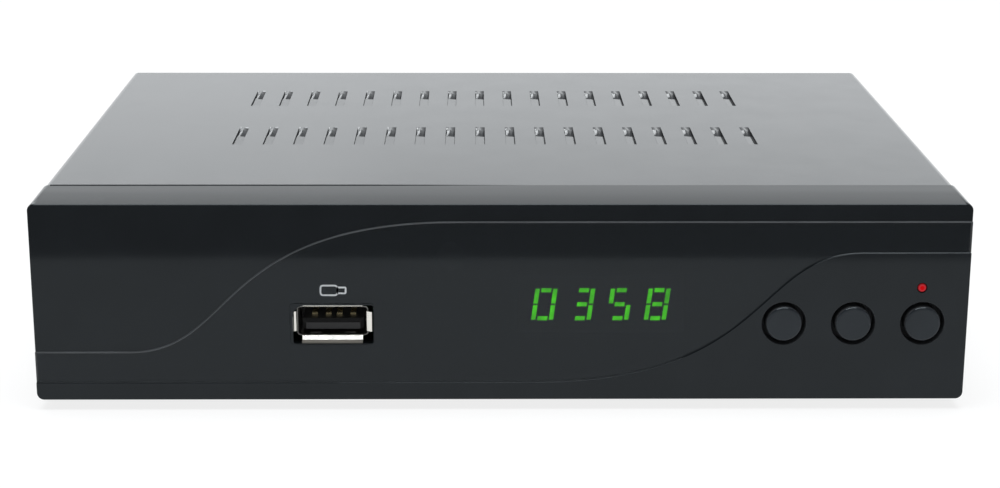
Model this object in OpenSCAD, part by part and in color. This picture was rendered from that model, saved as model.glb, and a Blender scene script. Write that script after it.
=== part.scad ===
// Digital television receiver: a painted sheet-steel case behind a moulded front bezel, with a smoked
// fascia lens, three push buttons, a lit clock display, a memory socket in front and sockets at the back.
// Millimetres. The origin is on the floor below the middle of the object, x is to the right of a person
// who faces the front, y runs from the front to the back and z is up.

/* [Case] */
// Width of the front bezel
body_w = 168; // [160:1:190]
// Height of the front bezel
body_h = 36.5; // [35:0.5:44]
// Depth from the bezel's face to the back of the rear panel
body_d = 120; // [114:1:150]
// Thickness of the sheet steel
sheet = 0.8; // [0.6:0.1:1.2]
// Gap between the bezel's rim and the steel case
seam = 0.4; // [0.2:0.1:0.8]
// Step of the cover inside the bezel's outline
cover_inset = 0.2; // [0.1:0.05:0.5]
// Outer radius of the cover's folds
fold_r = 1.3; // [1.3:0.1:3]
// Gap between sheets that lie against each other
sheet_fit = 0.15; // [0.05:0.05:0.25]
// Height of the chassis's side flanges
flange_h = 20; // [17:1:24]
// Height of the rubber feet
foot_h = 2; // [1.5:0.1:4]
// Radius of the rubber feet
foot_r = 5; // [4:0.5:7]
// Distance of a foot's middle from the edges of the chassis's floor
foot_in = 13; // [10:1:20]

/* [Vents] */
// Number of louvres in a row of the cover
louvre_count = 18; // [8:1:20]
// Distance between louvres
louvre_pitch = 6.04; // [5:0.01:7]
// Length of a louvre
louvre_l = 15.5; // [12:0.5:18]
// Width of a louvre
louvre_w = 1.9; // [1.8:0.1:3]
// Depth of a louvre's floor below the cover
louvre_depth = 1.1; // [1:0.1:2]
// Sideways lean of a louvre's floor, in degrees
louvre_lean = 7; // [0:1:18]
// Slope of a louvre's front end, in degrees
louvre_front_slope = 30; // [25:1:45]
// Slope of a louvre's back end, in degrees
louvre_back_slope = 12; // [10:1:40]
// Slit on each side of a louvre
louvre_slit = 0.12; // [0.05:0.01:0.2]
// Place of the middle of the rows of louvres, from the middle of the case
louvre_x = -0.6; // [-2:0.1:2]
// Middle of the front row of louvres, from the bezel's face
louvre_row_y = 54.9; // [50:0.1:60]
// Distance between the two rows of louvres
louvre_row_step = 36.5; // [30:0.5:42]
// Length of a slot in the chassis's floor
floor_slot_l = 16; // [10:1:20]
// Width of a slot in the chassis's floor
floor_slot_w = 2.4; // [1.5:0.1:3]
// Number of slots in a row of the chassis's floor
floor_slot_count = 12; // [6:1:14]

/* [Front bezel] */
// Depth of the bezel's rim
bezel_d = 13.5; // [13:0.5:20]
// Thickness of the bezel's front wall
bezel_wall = 2.4; // [2:0.1:3]
// Thickness of the bezel's rim
rim = 1.8; // [1.5:0.1:2.2]
// Radius of the bezel's corners
corner_r = 1.3; // [0.8:0.1:1.7]
// Height of the curved line's left end above the bezel's lower edge
sweep_low = 9; // [8:0.1:10]
// Distance of the curved line's right end below the bezel's upper edge
sweep_top_in = 3.2; // [2.5:0.1:4]
// Distance from the bezel's left edge to where the curved line starts to rise
sweep_in = 17; // [14:0.5:19]
// Length over which the curved line rises
sweep_run = 59; // [54:0.5:62]
// Length of the curved line's lower handle
sweep_low_pull = 19.5; // [15:0.5:22]
// Length of the curved line's upper handle
sweep_high_pull = 43.8; // [38:0.5:46]
// Place of the point that the two curved lines turn about, from the middle
sweep_turn_x = -1.2; // [-3:0.1:0]
// Thickness of the fascia lens
lens_t = 1.6; // [1.2:0.1:1.9]
// Step of the lens in front of the bezel's face
lens_step = 0.35; // [0.2:0.05:0.6]
// Step of the button pad in front of the bezel's face
pad_step = 0.7; // [0.6:0.05:1]
// Gap between the lens and the bezel
lens_fit = 0.1; // [0.05:0.01:0.2]

/* [Buttons] */
// Distance of the last button from the bezel's right edge
button_in = 8.1; // [7.8:0.1:9]
// Height of the buttons above the bezel's lower edge
button_z = 14.4; // [14:0.1:16]
// Distance between buttons
button_pitch = 12.5; // [12.2:0.1:12.7]
// Radius of a button cap
cap_r = 3.2; // [2.8:0.1:3.5]
// Radius of a button's hole
cap_hole_r = 4; // [3.8:0.1:4.2]
// Step of a cap in front of the button pad
cap_proud = 0.6; // [0.3:0.1:1]
// Rounded edge of a cap
cap_edge = 0.5; // [0.2:0.1:0.8]
// Radius of the collar that holds a cap in
collar_r = 4.7; // [4.5:0.1:4.9]
// Thickness of a cap's collar
collar_t = 1.3; // [1:0.1:2]
// Radius of a button's stem
stem_r = 2; // [1.9:0.1:2.4]
// Travel of a button
press_travel = 0.5; // [0.3:0.1:0.6]
// Height of the standby light above the buttons
light_up = 6.7; // [6:0.1:7]
// Distance of the standby light from the bezel's right edge
light_in = 8.5; // [8:0.1:9]
// Radius of the standby light
light_r = 0.8; // [0.6:0.05:1.1]

/* [Display] */
// Place of the display's middle, from the middle of the bezel
display_x = 18; // [16:0.1:19]
// Height of the display's middle above the bezel's lower edge
display_z = 17.4; // [16:0.1:19]
// Height of a digit, between its top and bottom bars
digit_h = 5.3; // [5:0.1:6]
// Width of a digit, between its side bars
digit_w = 3.2; // [3:0.05:3.7]
// Distance between digits
digit_pitch = 6.8; // [6.6:0.1:7.4]
// Thickness of a digit's bars
bar_t = 0.8; // [0.7:0.02:0.94]
// Gap between a digit's bars
bar_gap = 0.3; // [0.1:0.02:0.4]
// Slant of the digits, in degrees
digit_slant = 7.3; // [0:0.1:10]
// Depth of the bars in the display's face
bar_depth = 0.5; // [0.3:0.1:0.8]
// Width of the display's housing
display_w = 30; // [29:0.5:32]
// Height of the display's housing
display_h = 11; // [9:0.5:12]
// Thickness of the display's housing
display_t = 6.5; // [5.5:0.1:8]

/* [Front socket] */
// Distance of the socket's middle from the bezel's left edge
usb_in = 53.6; // [51:0.1:56]
// Height of the socket's middle above the bezel's lower edge
usb_z = 14.3; // [13:0.1:16]
// Clear width of the socket
usb_w = 12.5; // [12.4:0.05:12.6]
// Clear height of the socket
usb_h = 5.12; // [5.1:0.01:5.2]
// Length of the socket's shell
usb_l = 13.6; // [13:0.1:14.2]
// Thickness of the socket's shell
usb_wall = 0.35; // [0.25:0.05:0.4]
// Depth of the shell's mouth behind the bezel's face
usb_mouth = 0.7; // [0.4:0.1:1.2]
// Rise of the shell's flared lips
usb_lip = 0.6; // [0.5:0.1:0.8]
// Angle that the lips flare out to, in degrees
usb_lip_turn = 40; // [35:1:50]
// Thickness of the socket's tongue
tongue_t = 1.84; // [1.7:0.01:1.9]
// Width of the socket's tongue
tongue_w = 11.1; // [10.8:0.1:11.4]

/* [Boards] */
// Thickness of the circuit boards
board_t = 1.6; // [1.2:0.1:2]
// Height of the main board's standoffs
standoff_h = 5; // [4:0.5:6]
// Height of the ribbon cable's front header above the bezel's lower edge
ribbon_z = 22; // [20.5:0.5:24]
// Place of the ribbon cable's middle, from the middle of the case
ribbon_x = -8; // [-12:0.5:-4]

/* [Rear sockets] */
// Distance of the aerial inlet from the right side of the case
aerial_in = 18; // [16:0.5:20]
// Distance between the two aerial sockets
aerial_step = 18; // [16:0.5:19]
// Height of the aerial sockets above the main board
aerial_z = 8; // [7:0.5:8.5]
// Length of the aerial sockets behind the rear panel
aerial_l = 10; // [9:0.5:12]
// Outer radius of the aerial inlet
aerial_in_r = 4.75; // [4.7:0.05:4.8]
// Inner radius of the aerial outlet
aerial_out_r = 4.8; // [4.75:0.05:4.9]
// Radius of the aerial outlet's pin
aerial_pin_r = 1.2; // [1.15:0.05:1.25]
// Gap between the tuner and the video socket, stretched with the next two to fill the free width
video_gap = 5.4; // [4:0.1:7]
// Gap between the video socket and the wide socket, stretched with the others
av_gap = 7.9; // [6:0.1:10]
// Gap between the wide socket and the audio socket, stretched with the others
audio_gap = 8.5; // [6:0.1:10]
// Width of the wide socket's nose
av_w = 45; // [43:0.5:46]
// Height of the wide socket's nose
av_h = 15.5; // [14:0.5:16]
// Distance of the round audio socket from the left side of the case
audio_in = 36; // [34:0.5:37]
// Outer radius of the round audio socket
audio_r = 4.15; // [4.1:0.05:4.2]
// Length of the round audio socket behind its base
audio_l = 8; // [7:0.5:9]
// Distance of the power inlet from the left side of the case
power_in = 17; // [15:0.5:19]
// Radius of the power inlet's pin
power_pin_r = 1.05; // [1:0.05:1.25]
// Radius of the power inlet's bore
power_bore_r = 3.2; // [3:0.1:3.3]

/* [Hidden] */
$fn = 64;
// Allowance that makes a cut run past a face
past = 1;
// Overlap that joins two shapes of one piece
bite = 0.4;
// Edge of a cube that is larger than a louvre
vast = 60;
// Gap round a piece that is pushed into another
snug = 0.05;

// The case in the local frame: y is 0 on the bezel's face, z is 0 on the underside of the case
cover_w = body_w - 2 * cover_inset;
cover_top = body_h - cover_inset;
ceiling = cover_top - sheet;
case_front = bezel_d + seam;
case_w = cover_w - 2 * sheet - 2 * sheet_fit;
panel_in = body_d - sheet;
deck = sheet + standoff_h + board_t;

// The object's middle between its furthest front and back faces
front_most = -pad_step - cap_proud;
rear_most = body_d + aerial_l;
mid_y = (front_most + rear_most) / 2;

// Two curved lines on the front: the lower one is the upper one turned half round
sweep_steps = 40;
sweep_start = sweep_in - body_w / 2;
sweep_end = sweep_start + sweep_run;
sweep_high = body_h - sweep_top_in;
sweep_far = body_w / 2 + 2 * abs(sweep_turn_x) + past;
sweep_handles = [
    [sweep_start, sweep_low],
    [sweep_start + sweep_low_pull, sweep_low],
    [sweep_end - sweep_high_pull, sweep_high],
    [sweep_end, sweep_high],
];
function curve_point(p, t) =
    p[0] * pow(1 - t, 3) + 3 * p[1] * t * pow(1 - t, 2) + 3 * p[2] * t * t * (1 - t) + p[3] * pow(t, 3);
upper_line = concat(
    [[-sweep_far, sweep_low]],
    [for (i = [0:sweep_steps]) curve_point(sweep_handles, i / sweep_steps)],
    [[sweep_far, sweep_high]]
);
lower_line = [for (p = upper_line) [2 * sweep_turn_x - p[0], body_h - p[1]]];
lens_back = lens_t - lens_step;

// Front board behind the bezel, on bosses
usb_x = usb_in - body_w / 2;
front_board_y = usb_mouth + usb_l;
front_board_back = front_board_y + board_t;
front_board_gap = 2.4;
front_board_past_usb = 10;
front_board_left = usb_x - usb_w / 2 - front_board_past_usb;
front_board_right = body_w / 2 - rim - front_board_gap;
front_board_low = rim + front_board_gap / 2;
front_board_high = body_h - rim - front_board_gap / 2;
boss_r = 2.5;
boss_edge = 0.3;
boss_in = boss_r + boss_edge;
boss_floor = 0.6;
tapper_r = 1;
tapper_l = 8;
tapper_head_r = 2.1;
tapper_head_h = 1.4;
front_screws_at = [
    for (x = [front_board_left + boss_in, front_board_right - boss_in],
         z = [front_board_low + boss_in, front_board_high - boss_in]) [x, z]
];

// Buttons from left to right, and the switches behind them
buttons_x = [for (i = [0:2]) body_w / 2 - button_in - (2 - i) * button_pitch];
collar_gap = 0.15;
collar_front = bezel_wall + collar_gap;
collar_fit = 0.2;
guide_wall = 0.8;
guide_l = 5;
guide_end = bezel_wall + guide_l;
switch_w = 6;
switch_t = 3.5;
switch_front = front_board_y - switch_t;
plunger_r = 1.75;
plunger_fit = 0.1;
plunger_out = 2.5;
plunger_in = 1.2;
dome_t = 0.4;
dome_y = switch_front + plunger_in + press_travel;

// Standby light: a pipe in a sleeve of the bezel, with its lamp on the front board
light_x = body_w / 2 - light_in;
light_z = button_z + light_up;
light_fit = 0.08;
light_proud = 0.1;
light_sleeve_wall = 1.1;
light_collar_out = 0.65;
light_collar_t = 1;
led_r = 1.5;
led_rim = 0.4;
led_rim_t = 1;
led_gap = 0.2;
led_front = guide_end + light_collar_t + led_gap;

// Infrared receiver behind the lens
eye_x = -9;
eye_top_in = 10;
eye_z = body_h - eye_top_in;
eye_w = 5.4;
eye_h = 6;
eye_t = 4;
eye_front = front_board_y - eye_t;
eye_lens_r = 1.8;
eye_window_r = 2.6;

// Display in its window, carried by a spacer on the front board
display_gap = 0.2;
display_face = lens_back + display_gap;
display_back = display_face + display_t;
display_fit = 0.2;
spacer_in = 1;
spacer_wall = 2;
bar_end_in = 0.12;
// Bars of the digits 0, 3, 5 and 8: top, upper right, lower right, bottom, lower left, upper left, middle
bars_on = [
    [1, 1, 1, 1, 1, 1, 0],
    [1, 1, 1, 1, 0, 0, 1],
    [1, 0, 1, 1, 0, 1, 1],
    [1, 1, 1, 1, 1, 1, 1],
];

// Front socket
usb_hole_gap = 0.3;
usb_hole_corner = 0.6;
usb_corner = 0.4;
usb_lip_r = usb_lip / (1 - cos(usb_lip_turn));
usb_lip_start = usb_mouth + usb_lip_r * sin(usb_lip_turn);
usb_lip_steps = 6;
usb_lip_side_in = 0.7;
usb_lip_end_in = 0.6;
usb_base_l = 4;
usb_base_y = front_board_y - usb_base_l;
tongue_in = 2;
tongue_front = usb_mouth + tongue_in;
tongue_up = 0.65;
tongue_low = tongue_up - usb_h / 2;
contact_w = 1;
contact_t = 0.3;
contact_l = 4.6;
contact_bump_in = 1;
contact_bump_l = 1.6;
contact_inner_x = 1;
contact_outer_x = 3.5;
contacts_x = [-contact_outer_x, -contact_inner_x, contact_inner_x, contact_outer_x];

// Snap hooks that hold the bezel on the chassis
hook_w = 8;
hook_t = 1.5;
hook_l = 9;
hook_root = 6;
hook_fit = 0.15;
hook_barb_y = 5;
hook_barb_l = 2.6;
hook_barb_share = 0.7;
hook_slot_gap = 0.3;
hook_x = 46;
hook_z = 12;
hook_side_sink = max(cover_inset + 2 * sheet + sheet_fit - rim, 0) + bite;

// Screws of the cover: two on each side and two at the back
screw_r = 1.5;
screw_fit = 0.06;
screw_head_r = 2.8;
screw_head_h = 1.4;
screw_l = 5;
cross_l = 3;
cross_w = 0.6;
cross_d = 0.8;
side_screw_z = 11;
side_screw_front_in = 27.5;
side_screw_back_in = 22;
side_screws_y = [case_front + side_screw_front_in, body_d - side_screw_back_in];
rear_lip_h = 7;
rear_lip_w = 14;
rear_screw_in = 26;
rear_screw_x = case_w / 2 - rear_screw_in;
rear_screw_z = ceiling - rear_lip_h / 2;

// Main board on the chassis's standoffs
main_board_side_gap = 7;
main_board_front_gap = 9.5;
main_board_back_gap = 0.6;
main_board_front = case_front + main_board_front_gap;
main_board_back = panel_in - main_board_back_gap;
main_board_w = case_w - 2 * main_board_side_gap;
standoff_r = 3;
board_screw_r = 1.25;
board_screw_head_r = 2.6;
board_screw_head_h = 1.8;
board_screw_in = 5;
board_screw_back_in = 40;
board_screws_at = [
    for (side = [-1, 1], y = [main_board_front + board_screw_in, panel_in - board_screw_back_in])
        [side * (main_board_w / 2 - board_screw_in), y]
];
floor_slot_pitch = 7;
floor_slot_in = 33.5;
floor_slot_row_step = 30;
floor_slots_y = [for (row = [0, 1]) case_front + floor_slot_in + row * floor_slot_row_step];

// Ribbon cable between the two boards
ribbon_w = 13;
ribbon_t = 0.9;
ribbon_bend = 4;
header_h = 6;
header_t = 5;
header_side = 1.5;
header_in = 1;
main_header_y = main_board_front + header_in + header_t / 2;
ribbon_start = front_board_back + header_t;
ribbon_turn_y = main_header_y - ribbon_bend;

// Parts on the main board
chip_x = -14;
chip_in = 42;
chip_y = main_board_front + chip_in;
chip_w = 22;
chip_t = 1.8;
sink_w = 32;
sink_base = 2.2;
sink_h = 11;
sink_fin_t = 1.2;
sink_fins = 8;
memory_in = 25;
memory_x = chip_x - memory_in;
memory_w = 9;
memory_l = 13;
memory_t = 1.1;
memory_step = 17;
// Capacitors: tall ones in a row beside the power inlet's line, short ones in a row across the front
tall_side_in = 16;
tall_x = tall_side_in - main_board_w / 2;
tall_in = 26;
tall_step = 14;
tall_count = 3;
tall_r = 5;
tall_h = 14;
short_x = 26;
short_in = 24;
short_step = 10;
short_count = 2;
short_r = 3.2;
short_h = 8;
crystal_x = 16;
crystal_in = 30;
crystal_y = main_board_front + crystal_in;
crystal_w = 10;
crystal_l = 4;
crystal_h = 3.6;
coil_w = 7;
coil_h = 4;
coil_corner = 1;
coil_x = -46;
coil_in = 16;
coil_step = 12;
tuner_coil_x = 50;
tuner_coil_in = 20;
coils_at = [
    [coil_x, main_board_front + coil_in],
    [coil_x + coil_step, main_board_front + coil_in],
    [tuner_coil_x, main_board_front + tuner_coil_in],
];

// Aerial sockets on the tuner
panel_gap = 0.25;
collar_out = 0.6;
aerial_in_x = body_w / 2 - aerial_in;
aerial_out_x = aerial_in_x - aerial_step;
aerial_mid_z = deck + aerial_z;
aerial_wall = 0.7;
aerial_collar_r = 5.9;
aerial_seat = 1;
aerial_core_seat = 0.5;
aerial_core_wall = 0.6;
aerial_core_rim = 0.4;
aerial_insulator_in = 1.5;
aerial_contact_in = 1.2;
aerial_contact_floor = 1;
aerial_pin_in = 0.6;
tuner_w = 36;
tuner_d = 26;
tuner_h = 15;
tuner_wall = 0.5;
tuner_x = aerial_in_x - aerial_step / 2;
tuner_gap = 1.2;
tuner_back = panel_in - tuner_gap;

// Gaps between the sockets, which fill the width between the tuner and the round audio socket
video_w = 14.4;
video_wall = 0.4;
audio_x = audio_in - body_w / 2;
audio_base = 10;
rear_room = tuner_x - tuner_w / 2 - audio_x - audio_base / 2;
rear_stretch = (rear_room - video_w - 2 * video_wall - av_w) / (video_gap + av_gap + audio_gap);

// Video socket
video_h = 4.9;
video_x = tuner_x - tuner_w / 2 - rear_stretch * video_gap - video_wall - video_w / 2;
video_l = 12;
video_out = 1;
video_cut = 1.6;
video_lift = 0.3;
video_z = deck + video_lift + video_wall + video_h / 2;
video_front = body_d + video_out - video_l;
video_foot_w = 10;
video_foot_in = 2;
video_base_l = 4;
video_tongue_w = 11.6;
video_tongue_t = 1.5;
video_tongue_in = 1;
video_tongue_drop = 0.3;
video_tongue_low = video_z - video_tongue_drop;

// Wide socket
av_x = video_x - video_w / 2 - video_wall - rear_stretch * av_gap - av_w / 2;
av_base_h = 20;
av_base_d = 11;
av_out = 5;
av_face = body_d + av_out;
av_skirt = 1.6;
av_moat = 1.9;
av_moat_d = 8;
av_corner = 4;
av_z = deck + av_base_h / 2;
av_slot_pitch = 3.8;
av_slot_w = 1.2;
av_slot_h = 2.6;
av_slot_z = 2.2;
av_slot_count = 9;
av_contact_in = 1.5;

// Round audio socket and power inlet
audio_base_d = 12;
audio_base_up = 1;
audio_z = deck + audio_base_up + audio_base / 2;
audio_wall = 0.6;
audio_face = body_d + collar_out;
audio_core_in = 1.5;
audio_pin_hole_r = 1.6;
audio_pin_hole_in = 3;
power_x = power_in - body_w / 2;
power_base_w = 9.4;
power_base_h = 11;
power_base_d = 13;
power_nose_r = 4.4;
power_z = deck + power_base_h / 2;
power_out = 0.8;
power_mouth = body_d + power_out;
power_bore_l = 9.5;
power_pin_seat = 1.5;
power_pin_rim = 0.4;
power_pin_in = 0.6;

// Helpers

// Puts the local frame of the case on its feet, with the origin below the middle of the object
module in_place() {
    translate([0, -mid_y, foot_h]) children();
}

// Extrudes a shape drawn in x and z between two depths
module along_y(y0, y1) {
    translate([0, y1, 0]) rotate([90, 0, 0]) linear_extrude(y1 - y0) children();
}

// Extrudes a shape drawn in y and z between two places across
module along_x(x0, x1) {
    translate([x0, 0, 0]) rotate([90, 0, 90]) linear_extrude(x1 - x0) children();
}

module rod_y(x, z, r, y0, y1) {
    translate([x, y1, z]) rotate([90, 0, 0]) cylinder(r = r, h = y1 - y0);
}

module rod_x(y, z, r, x0, x1) {
    translate([x0, y, z]) rotate([0, 90, 0]) cylinder(r = r, h = x1 - x0);
}

// Box given by its limits along x, y and z
module block(x, y, z) {
    translate([x[0], y[0], z[0]]) cube([x[1] - x[0], y[1] - y[0], z[1] - z[0]]);
}

// Limits at half a size on both sides of a middle
function about(middle, size) = [middle - size / 2, middle + size / 2];

// Rectangle with round corners, from its limits across and up
module round_rect(x, z, r) {
    translate([x[0] + r, z[0]]) square([x[1] - x[0] - 2 * r, z[1] - z[0]]);
    translate([x[0], z[0] + r]) square([x[1] - x[0], z[1] - z[0] - 2 * r]);
    for (cx = [x[0] + r, x[1] - r], cz = [z[0] + r, z[1] - r])
        translate([cx, cz]) circle(r);
}

// Shapes on the front

// Band between the two curved lines, drawn in by a gap on both
module band(gap) {
    polygon(concat(
        [for (p = upper_line) [p[0], p[1] - gap]],
        [for (p = lower_line) [p[0], p[1] + gap]]
    ));
}

// Everything below the lower line
module below_band() {
    polygon(concat(lower_line, [[-sweep_far - past, -past], [sweep_far + past, -past]]));
}

module bezel_outline(inset = 0) {
    round_rect(about(0, body_w - 2 * inset), [inset, body_h - inset], max(corner_r - inset, bite));
}

module usb_hole() {
    grow = 2 * (usb_wall + usb_lip + usb_hole_gap);
    round_rect(about(usb_x, usb_w + grow), about(usb_z, usb_h + grow), usb_hole_corner);
}

// Snap hook: z is 0 on the sheet's inner face, y is 0 at the rim's end, and the barb points down
module hook(sink) {
    translate([-hook_w / 2, -hook_root, -sink]) cube([hook_w, hook_root, sink + hook_fit + hook_t]);
    translate([-hook_w / 2, -past, hook_fit]) cube([hook_w, hook_l + past, hook_t]);
    along_x(-hook_w / 2, hook_w / 2)
        polygon([
            [hook_barb_y, hook_fit + bite],
            [hook_barb_y, -hook_barb_share * sheet],
            [hook_barb_y + hook_barb_l, hook_fit],
            [hook_barb_y + hook_barb_l, hook_fit + bite],
        ]);
}

// Slot in the sheet for a hook's barb
module hook_slot() {
    translate([-hook_w / 2 - hook_slot_gap, hook_barb_y - hook_slot_gap, -sheet - past])
        cube([hook_w + 2 * hook_slot_gap, hook_barb_l + 2 * hook_slot_gap, sheet + past + hook_fit]);
}

module at_floor_hooks() {
    for (x = [-hook_x, hook_x])
        translate([x, bezel_d, sheet]) children();
}

module at_side_hooks() {
    for (side = [-1, 1])
        translate([side * (case_w / 2 - sheet), bezel_d, hook_z]) rotate([0, -side * 90, 0]) children();
}

// Front bezel and lens

module bezel_bosses() {
    for (p = front_screws_at)
        rod_y(p[0], p[1], boss_r, bezel_wall - bite, front_board_y);
    for (x = buttons_x)
        rod_y(x, button_z, collar_r + collar_fit + guide_wall, bezel_wall - bite, guide_end);
    rod_y(light_x, light_z, light_r + light_fit + light_sleeve_wall, bezel_wall - bite, guide_end);
}

module bezel_holes() {
    for (p = front_screws_at)
        rod_y(p[0], p[1], tapper_r + screw_fit, bezel_wall + boss_floor, front_board_y + past);
    for (x = buttons_x) {
        rod_y(x, button_z, cap_hole_r, -pad_step - past, bezel_wall + past);
        rod_y(x, button_z, collar_r + collar_fit, bezel_wall, guide_end + past);
    }
    rod_y(light_x, light_z, light_r + light_fit, -pad_step - past, guide_end + past);
    rod_y(eye_x, eye_z, eye_window_r, -past, bezel_wall + past);
    block(about(display_x, display_w + 2 * display_fit), [-past, bezel_wall + past],
        about(display_z, display_h + 2 * display_fit));
    along_y(-pad_step - past, bezel_wall + past) usb_hole();
}

module front_bezel() {
    color("#26282b")
    difference() {
        union() {
            along_y(0, bezel_wall) bezel_outline();
            difference() {
                along_y(0, bezel_d) bezel_outline();
                along_y(-past, bezel_d + past) bezel_outline(rim);
            }
            intersection() {
                along_y(-pad_step, bite) below_band();
                along_y(-pad_step, bite) bezel_outline();
            }
            bezel_bosses();
            at_floor_hooks() hook(0);
            at_side_hooks() hook(hook_side_sink);
        }
        along_y(-pad_step - past, lens_back) band(0);
        bezel_holes();
    }
}

module fascia_lens() {
    color("#1c1e22")
    difference() {
        intersection() {
            along_y(-lens_step, lens_back) band(lens_fit);
            along_y(-lens_step - past, lens_back + past) bezel_outline();
        }
        along_y(-lens_step - past, lens_back + past) usb_hole();
    }
}

// Top cover

// Space above a louvre, down to its floor and its two end slopes, lowered by a drop
module louvre_hollow(drop) {
    strip_w = louvre_w - 2 * louvre_slit;
    intersection() {
        block(about(0, strip_w), about(0, louvre_l), [-vast / 2, 0]);
        translate([0, 0, -louvre_depth - drop]) rotate([0, louvre_lean, 0])
            translate([-vast / 2, -vast / 2, 0]) cube(vast);
        translate([0, -louvre_l / 2, -drop]) rotate([-louvre_front_slope, 0, 0])
            translate([-vast / 2, -vast / 2, 0]) cube(vast);
        translate([0, louvre_l / 2, -drop]) rotate([louvre_back_slope, 0, 0])
            translate([-vast / 2, -vast / 2, 0]) cube(vast);
    }
}

module louvre_strip() {
    difference() {
        louvre_hollow(sheet);
        louvre_hollow(0);
    }
}

module at_louvres() {
    for (row = [0, 1], i = [0:louvre_count - 1])
        translate([
            louvre_x + (i - (louvre_count - 1) / 2) * louvre_pitch,
            louvre_row_y + row * louvre_row_step,
            cover_top
        ]) children();
}

// The cover's section across, filled and drawn in by an inset, from a lower limit up
module cover_section(inset, low) {
    r = fold_r - inset;
    top = cover_top - inset;
    wide = cover_w - 2 * inset;
    translate([-wide / 2, low]) square([wide, top - r - low]);
    translate([-wide / 2 + r, low]) square([wide - 2 * r, top - low]);
    for (side = [-1, 1])
        translate([side * (wide / 2 - r), top - r]) circle(r);
}

module side_screw_holes(face) {
    for (side = [-1, 1], y = side_screws_y)
        rod_x(y, side_screw_z, screw_r + screw_fit, side * face - 2 * sheet, side * face + 2 * sheet);
}

module rear_screw_holes() {
    for (side = [-1, 1])
        rod_y(side * rear_screw_x, rear_screw_z, screw_r + screw_fit, panel_in - screw_l, body_d + past);
}

module top_cover() {
    color("#3a3c3f")
    union() {
        difference() {
            along_y(case_front, body_d) cover_section(0, 0);
            along_y(case_front - past, body_d + past) cover_section(sheet, -past);
            at_louvres()
                block(about(0, louvre_w), about(0, louvre_l), [-sheet - past, past]);
            side_screw_holes(cover_w / 2);
        }
        at_louvres() louvre_strip();
        difference() {
            for (side = [-1, 1])
                block(about(side * rear_screw_x, rear_lip_w),
                    [panel_in - sheet_fit - sheet, panel_in - sheet_fit],
                    [ceiling - rear_lip_h, ceiling + sheet / 2]);
            rear_screw_holes();
        }
    }
}

// Chassis

module rear_cuts() {
    rear_screw_holes();
    for (x = [aerial_in_x, aerial_out_x])
        rod_y(x, aerial_mid_z, aerial_collar_r + panel_gap, panel_in - past, body_d + past);
    along_y(panel_in - past, body_d + past) {
        video_section(video_wall + panel_gap);
        av_section(panel_gap);
    }
    block(about(audio_x, audio_base + 2 * panel_gap), [panel_in - past, body_d + past],
        about(audio_z, audio_base + 2 * panel_gap));
    rod_y(power_x, power_z, power_nose_r + panel_gap, panel_in - past, body_d + past);
}

module floor_cuts() {
    at_floor_hooks() hook_slot();
    for (p = board_screws_at)
        translate([p[0], p[1], -past]) cylinder(r = board_screw_r + screw_fit, h = deck + past);
    for (y = floor_slots_y, i = [0:floor_slot_count - 1])
        block(about((i - (floor_slot_count - 1) / 2) * floor_slot_pitch, floor_slot_w),
            about(y, floor_slot_l), [-past, sheet + past]);
}

module chassis() {
    color("#2b2d30")
    difference() {
        union() {
            block(about(0, case_w), [case_front, body_d], [0, sheet]);
            for (side = [-1, 1])
                block(about(side * (case_w - sheet) / 2, sheet), [case_front, body_d], [0, flange_h]);
            block(about(0, case_w), [panel_in, body_d], [0, ceiling - sheet_fit]);
            for (p = board_screws_at)
                translate([p[0], p[1], sheet / 2]) cylinder(r = standoff_r, h = sheet / 2 + standoff_h);
        }
        rear_cuts();
        floor_cuts();
        at_side_hooks() hook_slot();
        side_screw_holes(case_w / 2);
    }
}

module rubber_feet() {
    color("#1a1a1a")
    for (side = [-1, 1], y = [case_front + foot_in, body_d - foot_in])
        translate([side * (case_w / 2 - foot_in), y, -foot_h]) cylinder(r = foot_r, h = foot_h);
}

// Cover screw along +x, with the seat of its cross-headed end at x = 0
module cover_screw() {
    difference() {
        union() {
            rod_x(0, 0, screw_r, -bite, screw_l);
            rod_x(0, 0, screw_head_r, -screw_head_h, 0);
        }
        for (turn = [0, 90])
            rotate([turn, 0, 0])
                block([-screw_head_h - past, -screw_head_h + cross_d], about(0, cross_l), about(0, cross_w));
    }
}

module cover_screws() {
    color("#202022") {
        for (side = [-1, 1], y = side_screws_y)
            translate([side * cover_w / 2, y, side_screw_z])
                rotate([0, 0, side > 0 ? 180 : 0]) cover_screw();
        for (side = [-1, 1])
            translate([side * rear_screw_x, body_d, rear_screw_z]) rotate([0, 0, -90]) cover_screw();
    }
}

// Buttons and switches

// Round of the cap's front edge, as the corner that is taken off its section
module cap_edge_cut() {
    translate([cap_r - cap_edge, 0])
        difference() {
            translate([0, -past]) square(cap_edge + past);
            translate([0, cap_edge]) circle(cap_edge);
        }
}

module button(x) {
    color("#2c2e31") {
        translate([x, front_most, button_z]) rotate([-90, 0, 0])
            rotate_extrude()
                difference() {
                    square([cap_r, collar_front + bite - front_most]);
                    cap_edge_cut();
                }
        rod_y(x, button_z, collar_r, collar_front, collar_front + collar_t);
        rod_y(x, button_z, stem_r, collar_front, switch_front - plunger_out);
    }
}

module plunger(x) {
    color("#101010") rod_y(x, button_z, plunger_r, switch_front - plunger_out, switch_front + plunger_in);
}

module switch_body(x) {
    color("#34363a")
    difference() {
        block(about(x, switch_w), [switch_front, front_board_y], about(button_z, switch_w));
        rod_y(x, button_z, plunger_r + plunger_fit, switch_front - past, dome_y + dome_t);
    }
}

module switch_domes() {
    color("#c8c8c8")
    for (x = buttons_x)
        rod_y(x, button_z, plunger_r, dome_y + snug, dome_y + dome_t);
}

// Front board and what it carries

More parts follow.
